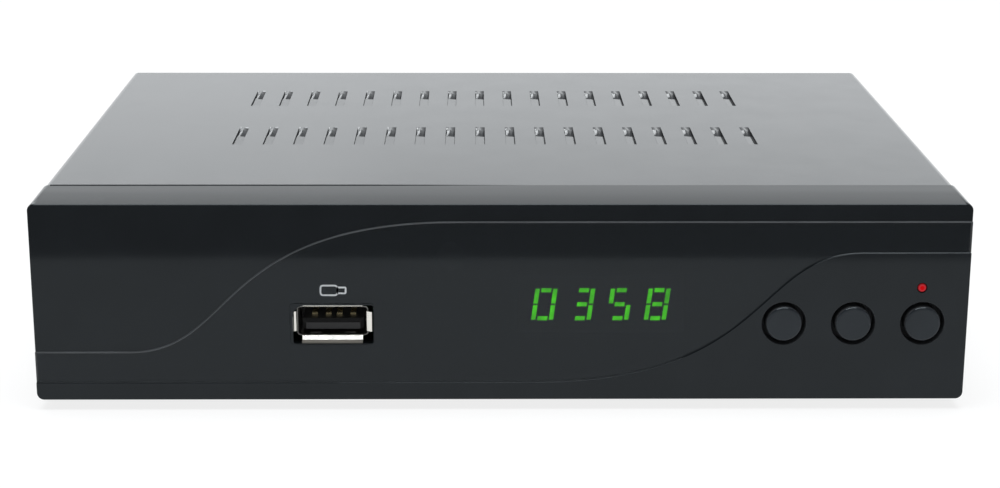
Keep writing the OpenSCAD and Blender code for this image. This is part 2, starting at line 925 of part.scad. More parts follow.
module front_board() {
    color("#2f6b3c")
    difference() {
        block([front_board_left, front_board_right], [front_board_y, front_board_back],
            [front_board_low, front_board_high]);
        for (p = front_screws_at)
            rod_y(p[0], p[1], tapper_r + screw_fit, front_board_y - past, front_board_back + past);
    }
}

module front_board_screws() {
    color("#b8b8ba")
    for (p = front_screws_at) {
        rod_y(p[0], p[1], tapper_r, front_board_back - tapper_l, front_board_back + bite);
        rod_y(p[0], p[1], tapper_head_r, front_board_back, front_board_back + tapper_head_h);
    }
}

// One bar of a digit, from its middle and its sizes, slanted with the digit
module bar(x, z, wide, high) {
    polygon([
        for (corner = [[-1, -1], [1, -1], [1, 1], [-1, 1]])
            let (px = x + corner[0] * wide / 2, pz = z + corner[1] * high / 2)
                [px + pz * tan(digit_slant), pz]
    ]);
}

// Bar number i of a digit, in the order of the list of bars
module digit_bar(i) {
    across = digit_w - bar_t - 2 * bar_gap;
    up = (digit_h + bar_t - bar_gap) / 2 - bar_end_in;
    side_x = digit_w / 2;
    side_z = (bar_gap + up) / 2;
    if (i == 0) bar(0, digit_h / 2, across, bar_t);
    if (i == 1) bar(side_x, side_z, bar_t, up);
    if (i == 2) bar(side_x, -side_z, bar_t, up);
    if (i == 3) bar(0, -digit_h / 2, across, bar_t);
    if (i == 4) bar(-side_x, -side_z, bar_t, up);
    if (i == 5) bar(-side_x, side_z, bar_t, up);
    if (i == 6) bar(0, 0, across, bar_t);
}

// All bars that are lit, or all that aren't
module bars(lit) {
    for (d = [0:3], i = [0:6])
        if (bars_on[d][i] == lit)
            along_y(display_face, display_face + bar_depth)
                translate([display_x + (d - 1.5) * digit_pitch, display_z]) digit_bar(i);
}

module lit_bars() {
    color("#46c81e") bars(1);
}

module unlit_bars() {
    color("#2a302a") bars(0);
}

module display_housing() {
    color("#17181a")
    difference() {
        block(about(display_x, display_w), [display_face, display_back], about(display_z, display_h));
        bars(0);
        bars(1);
    }
}

module display_spacer() {
    wide = display_w - 2 * spacer_in;
    high = display_h - 2 * spacer_in;
    color("#d8d8d4")
    difference() {
        block(about(display_x, wide), [display_back, front_board_y], about(display_z, high));
        block(about(display_x, wide - 2 * spacer_wall), [display_back - past, front_board_y + past],
            about(display_z, high - 2 * spacer_wall));
    }
}

module standby_light_pipe() {
    color("#e02020") {
        rod_y(light_x, light_z, light_r, -pad_step - light_proud, guide_end + bite);
        rod_y(light_x, light_z, light_r + light_collar_out, guide_end, guide_end + light_collar_t);
    }
}

module standby_led() {
    color("#f05050") {
        rod_y(light_x, light_z, led_r, led_front, front_board_y);
        rod_y(light_x, light_z, led_r + led_rim, front_board_y - led_rim_t, front_board_y);
    }
}

module infrared_receiver() {
    color("#141416") {
        block(about(eye_x, eye_w), [eye_front, front_board_y], about(eye_z, eye_h));
        intersection() {
            translate([eye_x, eye_front, eye_z]) sphere(eye_lens_r);
            block(about(eye_x, eye_w), [eye_front - eye_w, eye_front + bite], about(eye_z, eye_h));
        }
    }
}

// Front socket: shell with flared lips, tongue with its base, and contacts on the tongue's upper side

// Points of a lip's curve in y and z, with z from the shell's inner face, on its inner or its outer side
function lip_curve(wall) = [
    for (i = [0:usb_lip_steps])
        let (turn = usb_lip_turn * i / usb_lip_steps, r = usb_lip_r - wall)
            [usb_lip_start - r * sin(turn), usb_lip_r - r * cos(turn)]
];

module usb_lip_section() {
    outer = lip_curve(usb_wall);
    polygon(concat(
        [[usb_lip_start + bite, 0]],
        lip_curve(0),
        [for (i = [usb_lip_steps:-1:0]) outer[i]],
        [[usb_lip_start + bite, usb_wall]]
    ));
}

module usb_shell() {
    wall = 2 * usb_wall;
    lip_w = usb_w - 2 * usb_lip_side_in;
    lip_h = usb_h - 2 * usb_lip_end_in;
    color("#d6d4cc")
    translate([usb_x, 0, usb_z]) {
        difference() {
            along_y(usb_lip_start, front_board_y)
                round_rect(about(0, usb_w + wall), about(0, usb_h + wall), usb_corner + usb_wall);
            along_y(usb_lip_start - past, front_board_y + past)
                round_rect(about(0, usb_w), about(0, usb_h), usb_corner);
        }
        for (turn = [0, 180])
            rotate([0, turn, 0]) translate([0, 0, usb_h / 2])
                along_x(-lip_w / 2, lip_w / 2) usb_lip_section();
        for (turn = [-90, 90])
            rotate([0, turn, 0]) translate([0, 0, usb_w / 2])
                along_x(-lip_h / 2, lip_h / 2) usb_lip_section();
    }
}

module usb_tongue() {
    color("#16171a")
    translate([usb_x, 0, usb_z]) {
        along_y(usb_base_y, front_board_y)
            round_rect(about(0, usb_w - 2 * snug), about(0, usb_h - 2 * snug), usb_corner);
        block(about(0, tongue_w), [tongue_front, usb_base_y + bite], [tongue_low, tongue_low + tongue_t]);
    }
}

// Section of a contact in y and z: a strip with a bump near its front end
module contact_section() {
    front = usb_base_y - contact_l;
    bump = front + contact_bump_in;
    polygon([
        [front, 0],
        [front, contact_t],
        [bump, contact_t],
        [bump + contact_bump_l / 2, 2 * contact_t],
        [bump + contact_bump_l, contact_t],
        [usb_base_y, contact_t],
        [usb_base_y, 0],
    ]);
}

module usb_contacts() {
    color("#c9a445")
    for (x = contacts_x)
        translate([usb_x + x, 0, usb_z + tongue_low + tongue_t])
            along_x(-contact_w / 2, contact_w / 2) contact_section();
}

// Ribbon cable between the boards

module front_header() {
    color("#e8e4d8")
        block(about(ribbon_x, ribbon_w + 2 * header_side), [front_board_back, ribbon_start],
            about(ribbon_z, header_h));
}

module main_header() {
    color("#e8e4d8")
        block(about(ribbon_x, ribbon_w + 2 * header_side), about(main_header_y, header_t),
            [deck, deck + header_h]);
}

// Straight out of the front header, round a quarter turn and down into the main one
module ribbon_cable() {
    turn_z = ribbon_z - ribbon_bend;
    color("#9a9ca0")
    along_x(ribbon_x - ribbon_w / 2, ribbon_x + ribbon_w / 2) {
        translate([ribbon_start, ribbon_z - ribbon_t / 2]) square([ribbon_turn_y - ribbon_start, ribbon_t]);
        translate([ribbon_turn_y, turn_z])
            intersection() {
                difference() {
                    circle(ribbon_bend + ribbon_t / 2);
                    circle(ribbon_bend - ribbon_t / 2);
                }
                square(2 * ribbon_bend);
            }
        translate([main_header_y - ribbon_t / 2, deck + header_h])
            square([ribbon_t, turn_z - deck - header_h]);
    }
}

// Main board and what it carries

module main_board() {
    color("#2f6b3c")
    difference() {
        block(about(0, main_board_w), [main_board_front, main_board_back], [deck - board_t, deck]);
        for (p = board_screws_at)
            translate([p[0], p[1], deck - board_t - past])
                cylinder(r = board_screw_r + screw_fit, h = board_t + 2 * past);
    }
}

module board_screws() {
    color("#b8b8ba")
    for (p = board_screws_at)
        translate([p[0], p[1], 0]) {
            translate([0, 0, sheet]) cylinder(r = board_screw_r, h = deck - sheet + bite);
            translate([0, 0, deck]) cylinder(r = board_screw_head_r, h = board_screw_head_h);
        }
}

module main_chip() {
    color("#18181a") block(about(chip_x, chip_w), about(chip_y, chip_w), [deck, deck + chip_t]);
}

module heat_sink() {
    low = deck + chip_t;
    step = (sink_w - sink_fin_t) / (sink_fins - 1);
    color("#a8aaae") {
        block(about(chip_x, sink_w), about(chip_y, sink_w), [low, low + sink_base]);
        for (i = [0:sink_fins - 1])
            block(about(chip_x + (i - (sink_fins - 1) / 2) * step, sink_fin_t), about(chip_y, sink_w),
                [low, low + sink_h]);
    }
}

module memory_chips() {
    color("#18181a")
    for (end = [-1, 1])
        block(about(memory_x, memory_w), about(chip_y + end * memory_step / 2, memory_l),
            [deck, deck + memory_t]);
}

module capacitors() {
    color("#23345c") {
        for (i = [0:tall_count - 1])
            translate([tall_x, main_board_front + tall_in + i * tall_step, deck])
                cylinder(r = tall_r, h = tall_h);
        for (i = [0:short_count - 1])
            translate([short_x + i * short_step, main_board_front + short_in, deck])
                cylinder(r = short_r, h = short_h);
    }
}

module crystal() {
    color("#c4c4c6")
        block(about(crystal_x, crystal_w), about(crystal_y, crystal_l), [deck, deck + crystal_h]);
}

module power_coils() {
    color("#4a4a4c")
    for (p = coils_at)
        translate([0, 0, deck])
            linear_extrude(coil_h) round_rect(about(p[0], coil_w), about(p[1], coil_w), coil_corner);
}

// Tuner: a sheet-metal can that is open towards the board
module tuner_can() {
    y = [tuner_back - tuner_d, tuner_back];
    color("#bfc1c4")
    difference() {
        block(about(tuner_x, tuner_w), y, [deck, deck + tuner_h]);
        block(about(tuner_x, tuner_w - 2 * tuner_wall), [y[0] + tuner_wall, y[1] - tuner_wall],
            [deck - past, deck + tuner_h - tuner_wall]);
    }
}

// Aerial sockets: a collar through the rear panel, then the part that a plug meets

// Collar and barrel with a blind bore
module aerial_barrel(x, r_out, r_in) {
    difference() {
        union() {
            rod_y(x, aerial_mid_z, aerial_collar_r, tuner_back, body_d + collar_out);
            rod_y(x, aerial_mid_z, r_out, body_d, body_d + aerial_l);
        }
        rod_y(x, aerial_mid_z, r_in, body_d - aerial_seat, body_d + aerial_l + past);
    }
}

module aerial_in_barrel() {
    color("#c8c8ca") aerial_barrel(aerial_in_x, aerial_in_r, aerial_in_r - aerial_wall);
}

module aerial_in_insulator() {
    r = aerial_in_r - aerial_wall - snug;
    color("#e6e4dc")
    difference() {
        rod_y(aerial_in_x, aerial_mid_z, r, body_d - aerial_seat, body_d + aerial_l - aerial_insulator_in);
        rod_y(aerial_in_x, aerial_mid_z, aerial_pin_r + aerial_core_wall + snug,
            body_d - aerial_core_seat, body_d + aerial_l);
    }
}

module aerial_in_contact() {
    color("#c9a445")
    difference() {
        rod_y(aerial_in_x, aerial_mid_z, aerial_pin_r + aerial_core_wall,
            body_d - aerial_core_seat, body_d + aerial_l - aerial_contact_in);
        rod_y(aerial_in_x, aerial_mid_z, aerial_pin_r + snug,
            body_d + aerial_contact_floor, body_d + aerial_l);
    }
}

module aerial_out_sleeve() {
    color("#c8c8ca") aerial_barrel(aerial_out_x, aerial_out_r + aerial_wall, aerial_out_r);
}

module aerial_out_insulator() {
    color("#e6e4dc")
    difference() {
        rod_y(aerial_out_x, aerial_mid_z, aerial_out_r - snug, body_d - aerial_seat, body_d + collar_out);
        rod_y(aerial_out_x, aerial_mid_z, aerial_pin_r + aerial_core_rim + snug,
            body_d - aerial_core_seat, body_d + collar_out + past);
    }
}

module aerial_out_pin() {
    color("#c9a445") {
        rod_y(aerial_out_x, aerial_mid_z, aerial_pin_r + aerial_core_rim,
            body_d - aerial_core_seat, body_d + collar_out);
        rod_y(aerial_out_x, aerial_mid_z, aerial_pin_r, body_d, body_d + aerial_l - aerial_pin_in);
    }
}

// Video socket: a shell with two cut corners on a foot, and a thin tongue

module video_section(grow) {
    w = video_w / 2 + grow;
    h = video_h / 2 + grow;
    translate([video_x, video_z])
        polygon([
            [-w, h], [-w, video_cut - h], [video_cut - w, -h],
            [w - video_cut, -h], [w, video_cut - h], [w, h],
        ]);
}

module video_socket_shell() {
    color("#c8c8ca") {
        difference() {
            along_y(video_front, body_d + video_out) video_section(video_wall);
            along_y(video_front - past, body_d + video_out + past) video_section(0);
        }
        block(about(video_x, video_foot_w), [video_front, panel_in - video_foot_in],
            [deck, deck + video_lift + video_wall / 2]);
    }
}

module video_socket_tongue() {
    color("#141416") {
        along_y(video_front, video_front + video_base_l) video_section(-snug);
        block(about(video_x, video_tongue_w),
            [video_front + video_base_l - bite, body_d + video_out - video_tongue_in],
            [video_tongue_low, video_tongue_low + video_tongue_t]);
    }
}

// Wide socket: a skirted nose with one slanted corner, a moat for the plug's shell, and contact slots

module av_section(grow) {
    w = av_w / 2 + grow;
    h = av_h / 2 + grow;
    translate([av_x, av_z])
        polygon([[-w, -h], [w, -h], [w, h - av_corner], [w - av_corner, h], [-w, h]]);
}

module at_av_slots() {
    for (row = [-1, 1], i = [0:av_slot_count - 1])
        translate([av_x + (i - (av_slot_count - 1) / 2) * av_slot_pitch, 0, av_z + row * av_slot_z])
            children();
}

module av_socket() {
    color("#161719")
    difference() {
        union() {
            along_y(panel_in - av_base_d, av_face) av_section(0);
            block(about(av_x, av_w), [panel_in - av_base_d, panel_in - panel_gap], [deck, deck + av_base_h]);
        }
        difference() {
            along_y(av_face - av_moat_d, av_face + past) av_section(-av_skirt);
            along_y(av_face - av_moat_d - past, av_face + 2 * past) av_section(-av_skirt - av_moat);
        }
        at_av_slots()
            block(about(0, av_slot_w), [av_face - av_moat_d, av_face + past], about(0, av_slot_h));
    }
}

module av_contacts() {
    color("#c9a445")
    at_av_slots()
        block(about(0, av_slot_w / 2), [av_face - av_moat_d, av_face - av_contact_in], [-av_slot_h / 2, 0]);
}

// Round audio socket: a base with a core, and a metal ring on the core

module audio_socket_base() {
    core_r = audio_r - audio_wall - snug;
    color("#17181b")
    difference() {
        union() {
            block(about(audio_x, audio_base), [panel_in - audio_base_d, panel_in - panel_gap],
                [deck, audio_z + audio_base / 2]);
            block(about(audio_x, audio_base), [panel_in - panel_gap - past, audio_face],
                about(audio_z, audio_base));
            rod_y(audio_x, audio_z, core_r, body_d, audio_face + audio_l - audio_core_in);
        }
        rod_y(audio_x, audio_z, audio_pin_hole_r, body_d - audio_pin_hole_in, audio_face + audio_l);
    }
}

module audio_socket_ring() {
    color("#d0d0d2")
    difference() {
        rod_y(audio_x, audio_z, audio_r, audio_face, audio_face + audio_l);
        rod_y(audio_x, audio_z, audio_r - audio_wall, audio_face - past, audio_face + audio_l + past);
    }
}

// Power inlet: a body with a round nose through the rear panel, and a pin in its bore

module power_inlet() {
    bore_floor = power_mouth - power_bore_l;
    color("#17181b")
    difference() {
        union() {
            block(about(power_x, power_base_w), [panel_in - power_base_d, panel_in - panel_gap],
                [deck, deck + power_base_h]);
            rod_y(power_x, power_z, power_nose_r, panel_in - power_base_d / 2, power_mouth);
        }
        rod_y(power_x, power_z, power_bore_r, bore_floor, power_mouth + past);
        rod_y(power_x, power_z, power_pin_r + power_pin_rim + snug,
            bore_floor - power_pin_seat, power_mouth);
    }
}

module power_inlet_pin() {
    bore_floor = power_mouth - power_bore_l;
    color("#c8c8ca") {
        rod_y(power_x, power_z, power_pin_r + power_pin_rim, bore_floor - power_pin_seat, bore_floor);
        rod_y(power_x, power_z, power_pin_r, bore_floor - bite, power_mouth - power_pin_in);
    }
}

in_place() front_bezel();
in_place() fascia_lens();
in_place() top_cover();
in_place() chassis();
in_place() rubber_feet();
in_place() cover_screws();
in_place() button(buttons_x[0]);  // channel_down_button
in_place() button(buttons_x[1]);  // channel_up_button
in_place() button(buttons_x[2]);  // standby_button
in_place() plunger(buttons_x[0]);  // channel_down_plunger
in_place() plunger(buttons_x[1]);  // channel_up_plunger
in_place() plunger(buttons_x[2]);  // standby_plunger
in_place() switch_body(buttons_x[0]);  // channel_down_switch
in_place() switch_body(buttons_x[1]);  // channel_up_switch
in_place() switch_body(buttons_x[2]);  // standby_switch
in_place() switch_domes();
in_place() front_board();
in_place() front_board_screws();
in_place() display_housing();
in_place() lit_bars();
in_place() unlit_bars();
in_place() display_spacer();
in_place() standby_light_pipe();
in_place() standby_led();
in_place() infrared_receiver();
in_place() usb_shell();
in_place() usb_tongue();
in_place() usb_contacts();
in_place() front_header();
in_place() ribbon_cable();
in_place() main_header();
in_place() main_board();
in_place() board_screws();
in_place() main_chip();
in_place() heat_sink();
in_place() memory_chips();
in_place() capacitors();
in_place() crystal();
in_place() power_coils();
in_place() tuner_can();
in_place() aerial_in_barrel();
in_place() aerial_in_insulator();
in_place() aerial_in_contact();
in_place() aerial_out_sleeve();
in_place() aerial_out_insulator();
in_place() aerial_out_pin();
in_place() video_socket_shell();
in_place() video_socket_tongue();
in_place() av_socket();
in_place() av_contacts();
in_place() audio_socket_base();
in_place() audio_socket_ring();
in_place() power_inlet();
in_place() power_inlet_pin();
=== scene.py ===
"""Looks of a digital television receiver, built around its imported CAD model."""
import math

import bmesh
import bpy
from mathutils import Matrix, Vector


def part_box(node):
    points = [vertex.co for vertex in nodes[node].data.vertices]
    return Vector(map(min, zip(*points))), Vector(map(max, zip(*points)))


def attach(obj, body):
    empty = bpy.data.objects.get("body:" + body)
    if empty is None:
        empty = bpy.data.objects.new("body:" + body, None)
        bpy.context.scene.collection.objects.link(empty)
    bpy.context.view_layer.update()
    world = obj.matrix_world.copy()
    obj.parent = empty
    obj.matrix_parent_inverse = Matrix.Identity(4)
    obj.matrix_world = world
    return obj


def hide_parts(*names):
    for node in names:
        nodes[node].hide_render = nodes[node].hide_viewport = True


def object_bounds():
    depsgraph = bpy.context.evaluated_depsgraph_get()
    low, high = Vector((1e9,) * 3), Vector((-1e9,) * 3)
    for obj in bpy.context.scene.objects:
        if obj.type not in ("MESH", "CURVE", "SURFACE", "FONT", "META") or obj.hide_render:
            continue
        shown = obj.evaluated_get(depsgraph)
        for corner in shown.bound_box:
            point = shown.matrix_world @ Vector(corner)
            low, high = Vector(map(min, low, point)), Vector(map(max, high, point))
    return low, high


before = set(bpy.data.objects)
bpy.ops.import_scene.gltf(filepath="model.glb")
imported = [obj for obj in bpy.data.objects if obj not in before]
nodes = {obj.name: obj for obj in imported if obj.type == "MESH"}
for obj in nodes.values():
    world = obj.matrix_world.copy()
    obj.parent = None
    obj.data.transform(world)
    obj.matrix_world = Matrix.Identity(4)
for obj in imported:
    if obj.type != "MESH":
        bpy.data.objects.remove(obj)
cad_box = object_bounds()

MM = 0.001

# Camera, fitted to the corners of the case in the photograph
CAMERA_AT = Vector((-4.903, -424.416, 133.509)) * MM
CAMERA_DOWN = math.radians(15.873)
CAMERA_RIGHT = math.radians(0.7415)
CAMERA_ROLL = math.radians(-0.1726)
CAMERA_LENS = 75.65
CAMERA_CLIP = 0.01
SENSOR_W = 36.0

# Light that the surroundings send, by elevation in degrees, and the tint of all light
SKY = [
    (-90, 0.40),
    (-2, 0.40),
    (0, 1.10),
    (12, 1.10),
    (14.3, 0.97),
    (17, 0.58),
    (32, 0.24),
    (58, 0.20),
    (70, 1.00),
    (90, 1.10),
]
LIGHT_TINT = (0.95, 0.98, 1.0)

# Lamps: where each hangs, what it aims at, its width and height, and its power
LAMPS = {
    "overhead": ((0, -0.1, 0.9), (0, 0, 0), (0.8, 0.5), 9),
    "softbox": ((-0.364, 0.857, 0.62), (0, 0, 0.04), (0.67, 0.46), 2.7),
}

# Floor: how far it reaches in front of the case and elsewhere, its colour, and its share of plain white
FLOOR_FRONT = 97 * MM
FLOOR_REACH = 6.0
FLOOR_PALE = (0.9, 0.9, 0.9, 1)
FLOOR_GLOW = 0.82

# Part of a noise's range over which colour, roughness and glow drift
COLOR_SPAN = (0.35, 0.65)
ROUGHNESS_SPAN = (0.3, 0.7)
GLOW_SPAN = (0.3, 0.7)

# Drift in plastic and metal: shares of the colour and of the roughness, and sizes of the patches
PLASTIC_SHADES = (0.88, 1.12)
PLASTIC_ROUGHNESS = (0.9, 1.1)
PLASTIC_PATCH = 9 * MM
PLASTIC_ROUGH_PATCH = 4 * MM
METAL_SHADES = (0.92, 1.0)
METAL_ROUGHNESS = (0.8, 1.25)
METAL_PATCH = 3 * MM
METAL_ROUGH_PATCH = 1.5 * MM

# Tint of the front's black plastic, and tints of what the black plastics and the paint reflect
FRONT_TINT = (0.86, 1.0, 1.2)
COOL = (0.86, 0.95, 1.0, 1)
PALE_BLUE = (0.96, 0.985, 1.0, 1)

# Lit digits: size of the patches of their glow, and share of it where they are dimmest
DIGIT_PATCH = 2.2 * MM
DIGIT_DIM = 0.5

# Standby light: rings of its glow, by their share of the reach, and how deep behind its front it is lit
GLOW_REACH = 0.8 * MM
GLOW_RINGS = (
    (0.0, (0.48, 0.0, 0.001)),
    (0.4, (0.46, 0.0, 0.002)),
    (0.66, (0.4, 0.03, 0.04)),
    (0.84, (0.24, 0.01, 0.013)),
    (1.0, (0.08, 0.003, 0.005)),
)
LIGHT_D = 0.4 * MM

# Copies of CAD pieces: what counts as one point, as flat, as an edge, as sharp and as a large face
WELD_GAP = 0.002 * MM
FLAT_ANGLE = math.radians(0.1)
EDGE_ANGLE = math.radians(28)
SHARP_ANGLE = math.radians(50)
LARGE_FACE = 5 * MM * MM

# Share of a face's normal from which it counts as square on, and as turned to the front
SQUARE_ON = 0.99999
FACES_FRONT = 0.9

# Broken edges: width, and rounds of faces across it
PAD_EDGE = (0.3 * MM, 4)
OUTER_EDGE = (0.14 * MM, 3)
FACE_EDGE = (0.08 * MM, 2)
LENS_EDGE = (0.1 * MM, 2)
FOOT_EDGE = (0.5 * MM, 3)
LIGHT_EDGE = (0.3 * MM, 4)

# Front: the pad in front of the bezel's face, and the zone along the bezel's outer edges
PAD_STEP = 0.7 * MM
OUTER_ZONE = 1.5 * MM

# Ledge behind the front's upper edge: depth, fall towards the front, rows of faces, and what faces up
LEDGE_D = 13.5 * MM
LEDGE_FALL = 0.1 * MM
LEDGE_ROWS = 10
LEDGE_UP = 0.999

# Hem at the front edge of the cover, which fades out towards the right; its darker front is painted shade
# of the seam
HEM_LEFT = -82.4 * MM
HEM_FADE = -30 * MM
HEM_RIGHT = 16 * MM
HEM_H = 0.15 * MM
HEM_D = 0.4 * MM
HEM_SUNK = 0.02 * MM
HEM_STEPS = 20

# Buttons and their bodies, the holes round them, and where a cap's front turns into its side
BUTTONS = {
    "channel_down_button": "channel_down",
    "channel_up_button": "channel_up",
    "standby_button": "standby",
}
HOLE_REACH = 4.15 * MM
CAP_SIDE = -0.4
CAP_D = 0.8 * MM

# Beads along the lens: how short they stop, and sections as (down from its edge, forward of its face)
LINE_SHORT = 0.3 * MM
UPPER_BEAD = [
    (-0.12 * MM, -0.36 * MM),
    (-0.1 * MM, -0.2 * MM),
    (-0.02 * MM, 0.0),
    (0.06 * MM, 0.03 * MM),
    (0.12 * MM, 0.0),
    (0.12 * MM, -0.05 * MM),
    (0.02 * MM, -0.36 * MM),
]
LOWER_BEAD = [
    (-0.12 * MM, -0.02 * MM),
    (-0.12 * MM, 0.01 * MM),
    (0.04 * MM, 0.03 * MM),
    (0.13 * MM, 0.12 * MM),
    (0.13 * MM, -0.3 * MM),
    (0.02 * MM, -0.3 * MM),
]

# Round corners of outlines: steps along each
CORNER_STEPS = 5

# Sign above the front socket
SIGN_SIDE = 0.3 * MM
SIGN_UP = 6.3 * MM
SIGN_W = 4.8 * MM
SIGN_H = 2.1 * MM
SIGN_BODY = 3.3 * MM
SIGN_PLUG = 1.4 * MM
SIGN_LINE = 0.3 * MM
SIGN_ROUND = 0.6 * MM
SIGN_PLUG_ROUND = 1.05 * SIGN_LINE
SIGN_INK = 0.02 * MM

# Front socket: the shell's inside, its wall, and the lips at its mouth
SHELL_W = 12.5 * MM
SHELL_H = 5.12 * MM
SHELL_WALL = 0.18 * MM
SHELL_CORNER = 0.45 * MM
LIP_ROOT = 1.5 * MM
LIP_LAP = 0.6 * MM
LIP_BEND_AT = 0.95 * MM
LIP_R = 0.5 * MM
LIP_TURN = math.radians(60)
LIP_TURN_BOTTOM = math.radians(47)
LIP_STEPS = 5
LIP_W = 10.9 * MM
LIP_H = 3.7 * MM
LIP_FLAT_TOP = 0.25 * MM
LIP_FLAT_BOTTOM = 0.85 * MM
LIP_FLAT_LEFT = 0.3 * MM
LIP_FLAT_RIGHT = 1.0 * MM
LIP_LEFT_OUT = 0.16 * MM
LIP_RIGHT_OUT = -0.25 * MM
LIP_EDGE = 0.3 * MM

# Cut edge of the lower lip, whose beige grey look is painted reflection of the lit lip: how far its faces
# turn to the front and down
LIP_EDGE_FRONT = 0.5
LIP_EDGE_DOWN = 0.3

# Sill under the front socket's lower lip, whose pale grey is painted reflection of the lit lip: from the
# opening's lower edge up, and behind the lens's face
SILL_H = 0.5 * MM
SILL_BACK = 0.2 * MM
SILL_D = 0.6 * MM
SILL_EDGE = 0.12 * MM

# Opening in the lens round the front socket, and its trim: how far it reaches in on each side
OPENING_W = 15.0 * MM
OPENING_H = 7.62 * MM
TRIM_LEFT = 0.5 * MM
TRIM_RIGHT = 0.08 * MM
TRIM_TOP = 0.3 * MM
TRIM_BOTTOM = 0.08 * MM
TRIM_CORNER = 0.5 * MM
TRIM_CORNERS = (0.4 * MM, 2.2 * MM, 0.4 * MM, 0.4 * MM)
TRIM_T = 0.8 * MM

# Tongue in the front socket: width of the slanted faces round its front
TONGUE_SLANT = 0.65 * MM

# Spring leaves in the socket's floor: a section's points are (behind the mouth, outward of the wall)
LEAF_SIDE = 3.1 * MM
LEAF_W = 2.0 * MM
LEAF_SECTION = [
    (1.6 * MM, 0.02 * MM),
    (1.9 * MM, -0.14 * MM),
    (2.5 * MM, -0.26 * MM),
    (4.0 * MM, -0.22 * MM),
    (6.5 * MM, 0.02 * MM),
    (6.5 * MM, 0.2 * MM),
    (1.6 * MM, 0.2 * MM),
]

# Louvres of the cover, as in the CAD model
LOUVRE_COUNT = 18
LOUVRE_PITCH = 6.04 * MM
LOUVRE_X = -0.6 * MM
LOUVRE_ROWS = (-9.45 * MM, 27.05 * MM)
LOUVRE_L = 15.5 * MM
LOUVRE_W = 1.9 * MM

# Pressed strips in the louvres: sides from a louvre's middle, thickness, and depth of the leaning floor
STRIP_LEFT = -0.93 * MM
STRIP_RIGHT = 0.92 * MM
STRIP_T = 0.1 * MM
STRIP_DEPTH_LEFT = 0.4 * MM
STRIP_DEPTH_RIGHT = 0.55 * MM

# Back end of a strip, which rises to the cover: its length, the step at its foot, and its slopes
STRIP_RISE_L = 6.4 * MM
STRIP_STEP_L = 0.1 * MM
RAMP_LEFT = 0.12
RAMP_RIGHT = 0.2
RAMP_DEEPEST = 0.96 * MM

# Ridge on that rise: place across it, height, distance to its full height, fade, and highest crest
RIDGE_AT = 0.42
RIDGE_H = 0.42 * MM
RIDGE_BACK = 2.5 * MM
RIDGE_FADE = (3.6 * MM, 6.4 * MM)
RIDGE_CREST = 0.1 * MM

# Faces of a strip, across it and along its rise
STRIP_COLUMNS = 12
STRIP_ROWS = 20

# Dark plates on both sides of a louvre: painted shade of the gaps at its sides
SHADE_PLATE_T = 0.02 * MM
SHADE_PLATE_DEPTH = 0.95 * MM
BOX_FACES = ((0, 1, 3, 2), (4, 6, 7, 5), (0, 4, 5, 1), (2, 3, 7, 6), (0, 2, 6, 4), (1, 5, 7, 3))


# Materials

def material(name, color, roughness, metallic=0.0, **sockets):
    """A material with one Principled node, whose constant sockets are set here."""
    made = bpy.data.materials.new(name)
    made.use_nodes = True
    shader = made.node_tree.nodes["Principled BSDF"]
    shader.inputs["Base Color"].default_value = (*color, 1)
    shader.inputs["Roughness"].default_value = roughness
    shader.inputs["Metallic"].default_value = metallic
    for socket, value in sockets.items():
        shader.inputs[socket.replace("_", " ")].default_value = value
    return made


def noise(made, size, detail=2.0):
    """A noise texture in the object's own metres, with features of about that size."""
    tree = made.node_tree
    place = tree.nodes.new("ShaderNodeTexCoord")
    texture = tree.nodes.new("ShaderNodeTexNoise")
    texture.inputs["Scale"].default_value = 1 / size
    texture.inputs["Detail"].default_value = detail
    tree.links.new(place.outputs["Object"], texture.inputs["Vector"])
    return texture.outputs["Fac"]


def shaded(color, share):
    return [c * share for c in color]


def drift(made, socket, low, high, span, size):
    """Lets a colour socket of the shader drift between two colours over part of a noise's range."""
    tree = made.node_tree
    ramp = tree.nodes.new("ShaderNodeValToRGB")
    for stop, at, color in zip(ramp.color_ramp.elements, span, (low, high)):
        stop.position = at
        stop.color = (*color, 1)
    tree.links.new(noise(made, size), ramp.inputs["Fac"])
    tree.links.new(ramp.outputs["Color"], tree.nodes["Principled BSDF"].inputs[socket])


def mottle(made, low, high, size):
    """Lets the base colour drift between two colours."""
    drift(made, "Base Color", low, high, COLOR_SPAN, size)


def vary_roughness(made, low, high, size):
    """Lets the roughness drift between two values."""
    tree = made.node_tree
    spread = tree.nodes.new("ShaderNodeMapRange")
    spread.inputs["From Min"].default_value = ROUGHNESS_SPAN[0]
    spread.inputs["From Max"].default_value = ROUGHNESS_SPAN[1]
    spread.inputs["To Min"].default_value = low
    spread.inputs["To Max"].default_value = high
    tree.links.new(noise(made, size), spread.inputs["Value"])
    tree.links.new(spread.outputs["Result"], tree.nodes["Principled BSDF"].inputs["Roughness"])


def grain(made, size, depth, detail=2.0):
    """Raises a fine texture of that size and depth."""
    tree = made.node_tree
    bump = tree.nodes.new("ShaderNodeBump")
    bump.inputs["Distance"].default_value = depth
    bump.inputs["Strength"].default_value = 1.0
    tree.links.new(noise(made, size, detail), bump.inputs["Height"])
    tree.links.new(bump.outputs["Normal"], tree.nodes["Principled BSDF"].inputs["Normal"])


def plastic(name, color, roughness, grain_size=0.25 * MM, grain_depth=0.004 * MM, **sockets):
    made = material(name, color, roughness, **sockets)
    dark, pale = PLASTIC_SHADES
    smooth, rough = PLASTIC_ROUGHNESS
    mottle(made, shaded(color, dark), shaded(color, pale), PLASTIC_PATCH)
    vary_roughness(made, roughness * smooth, roughness * rough, PLASTIC_ROUGH_PATCH)
    grain(made, grain_size, grain_depth)
    return made


def metal(name, color, roughness, grain_size=0.6 * MM, grain_depth=0.0015 * MM):
    made = material(name, color, roughness, metallic=1.0)
    dark, pale = METAL_SHADES
    smooth, rough = METAL_ROUGHNESS
    mottle(made, shaded(color, dark), shaded(color, pale), METAL_PATCH)
    vary_roughness(made, roughness * smooth, roughness * rough, METAL_ROUGH_PATCH)
    grain(made, grain_size, grain_depth)
    return made


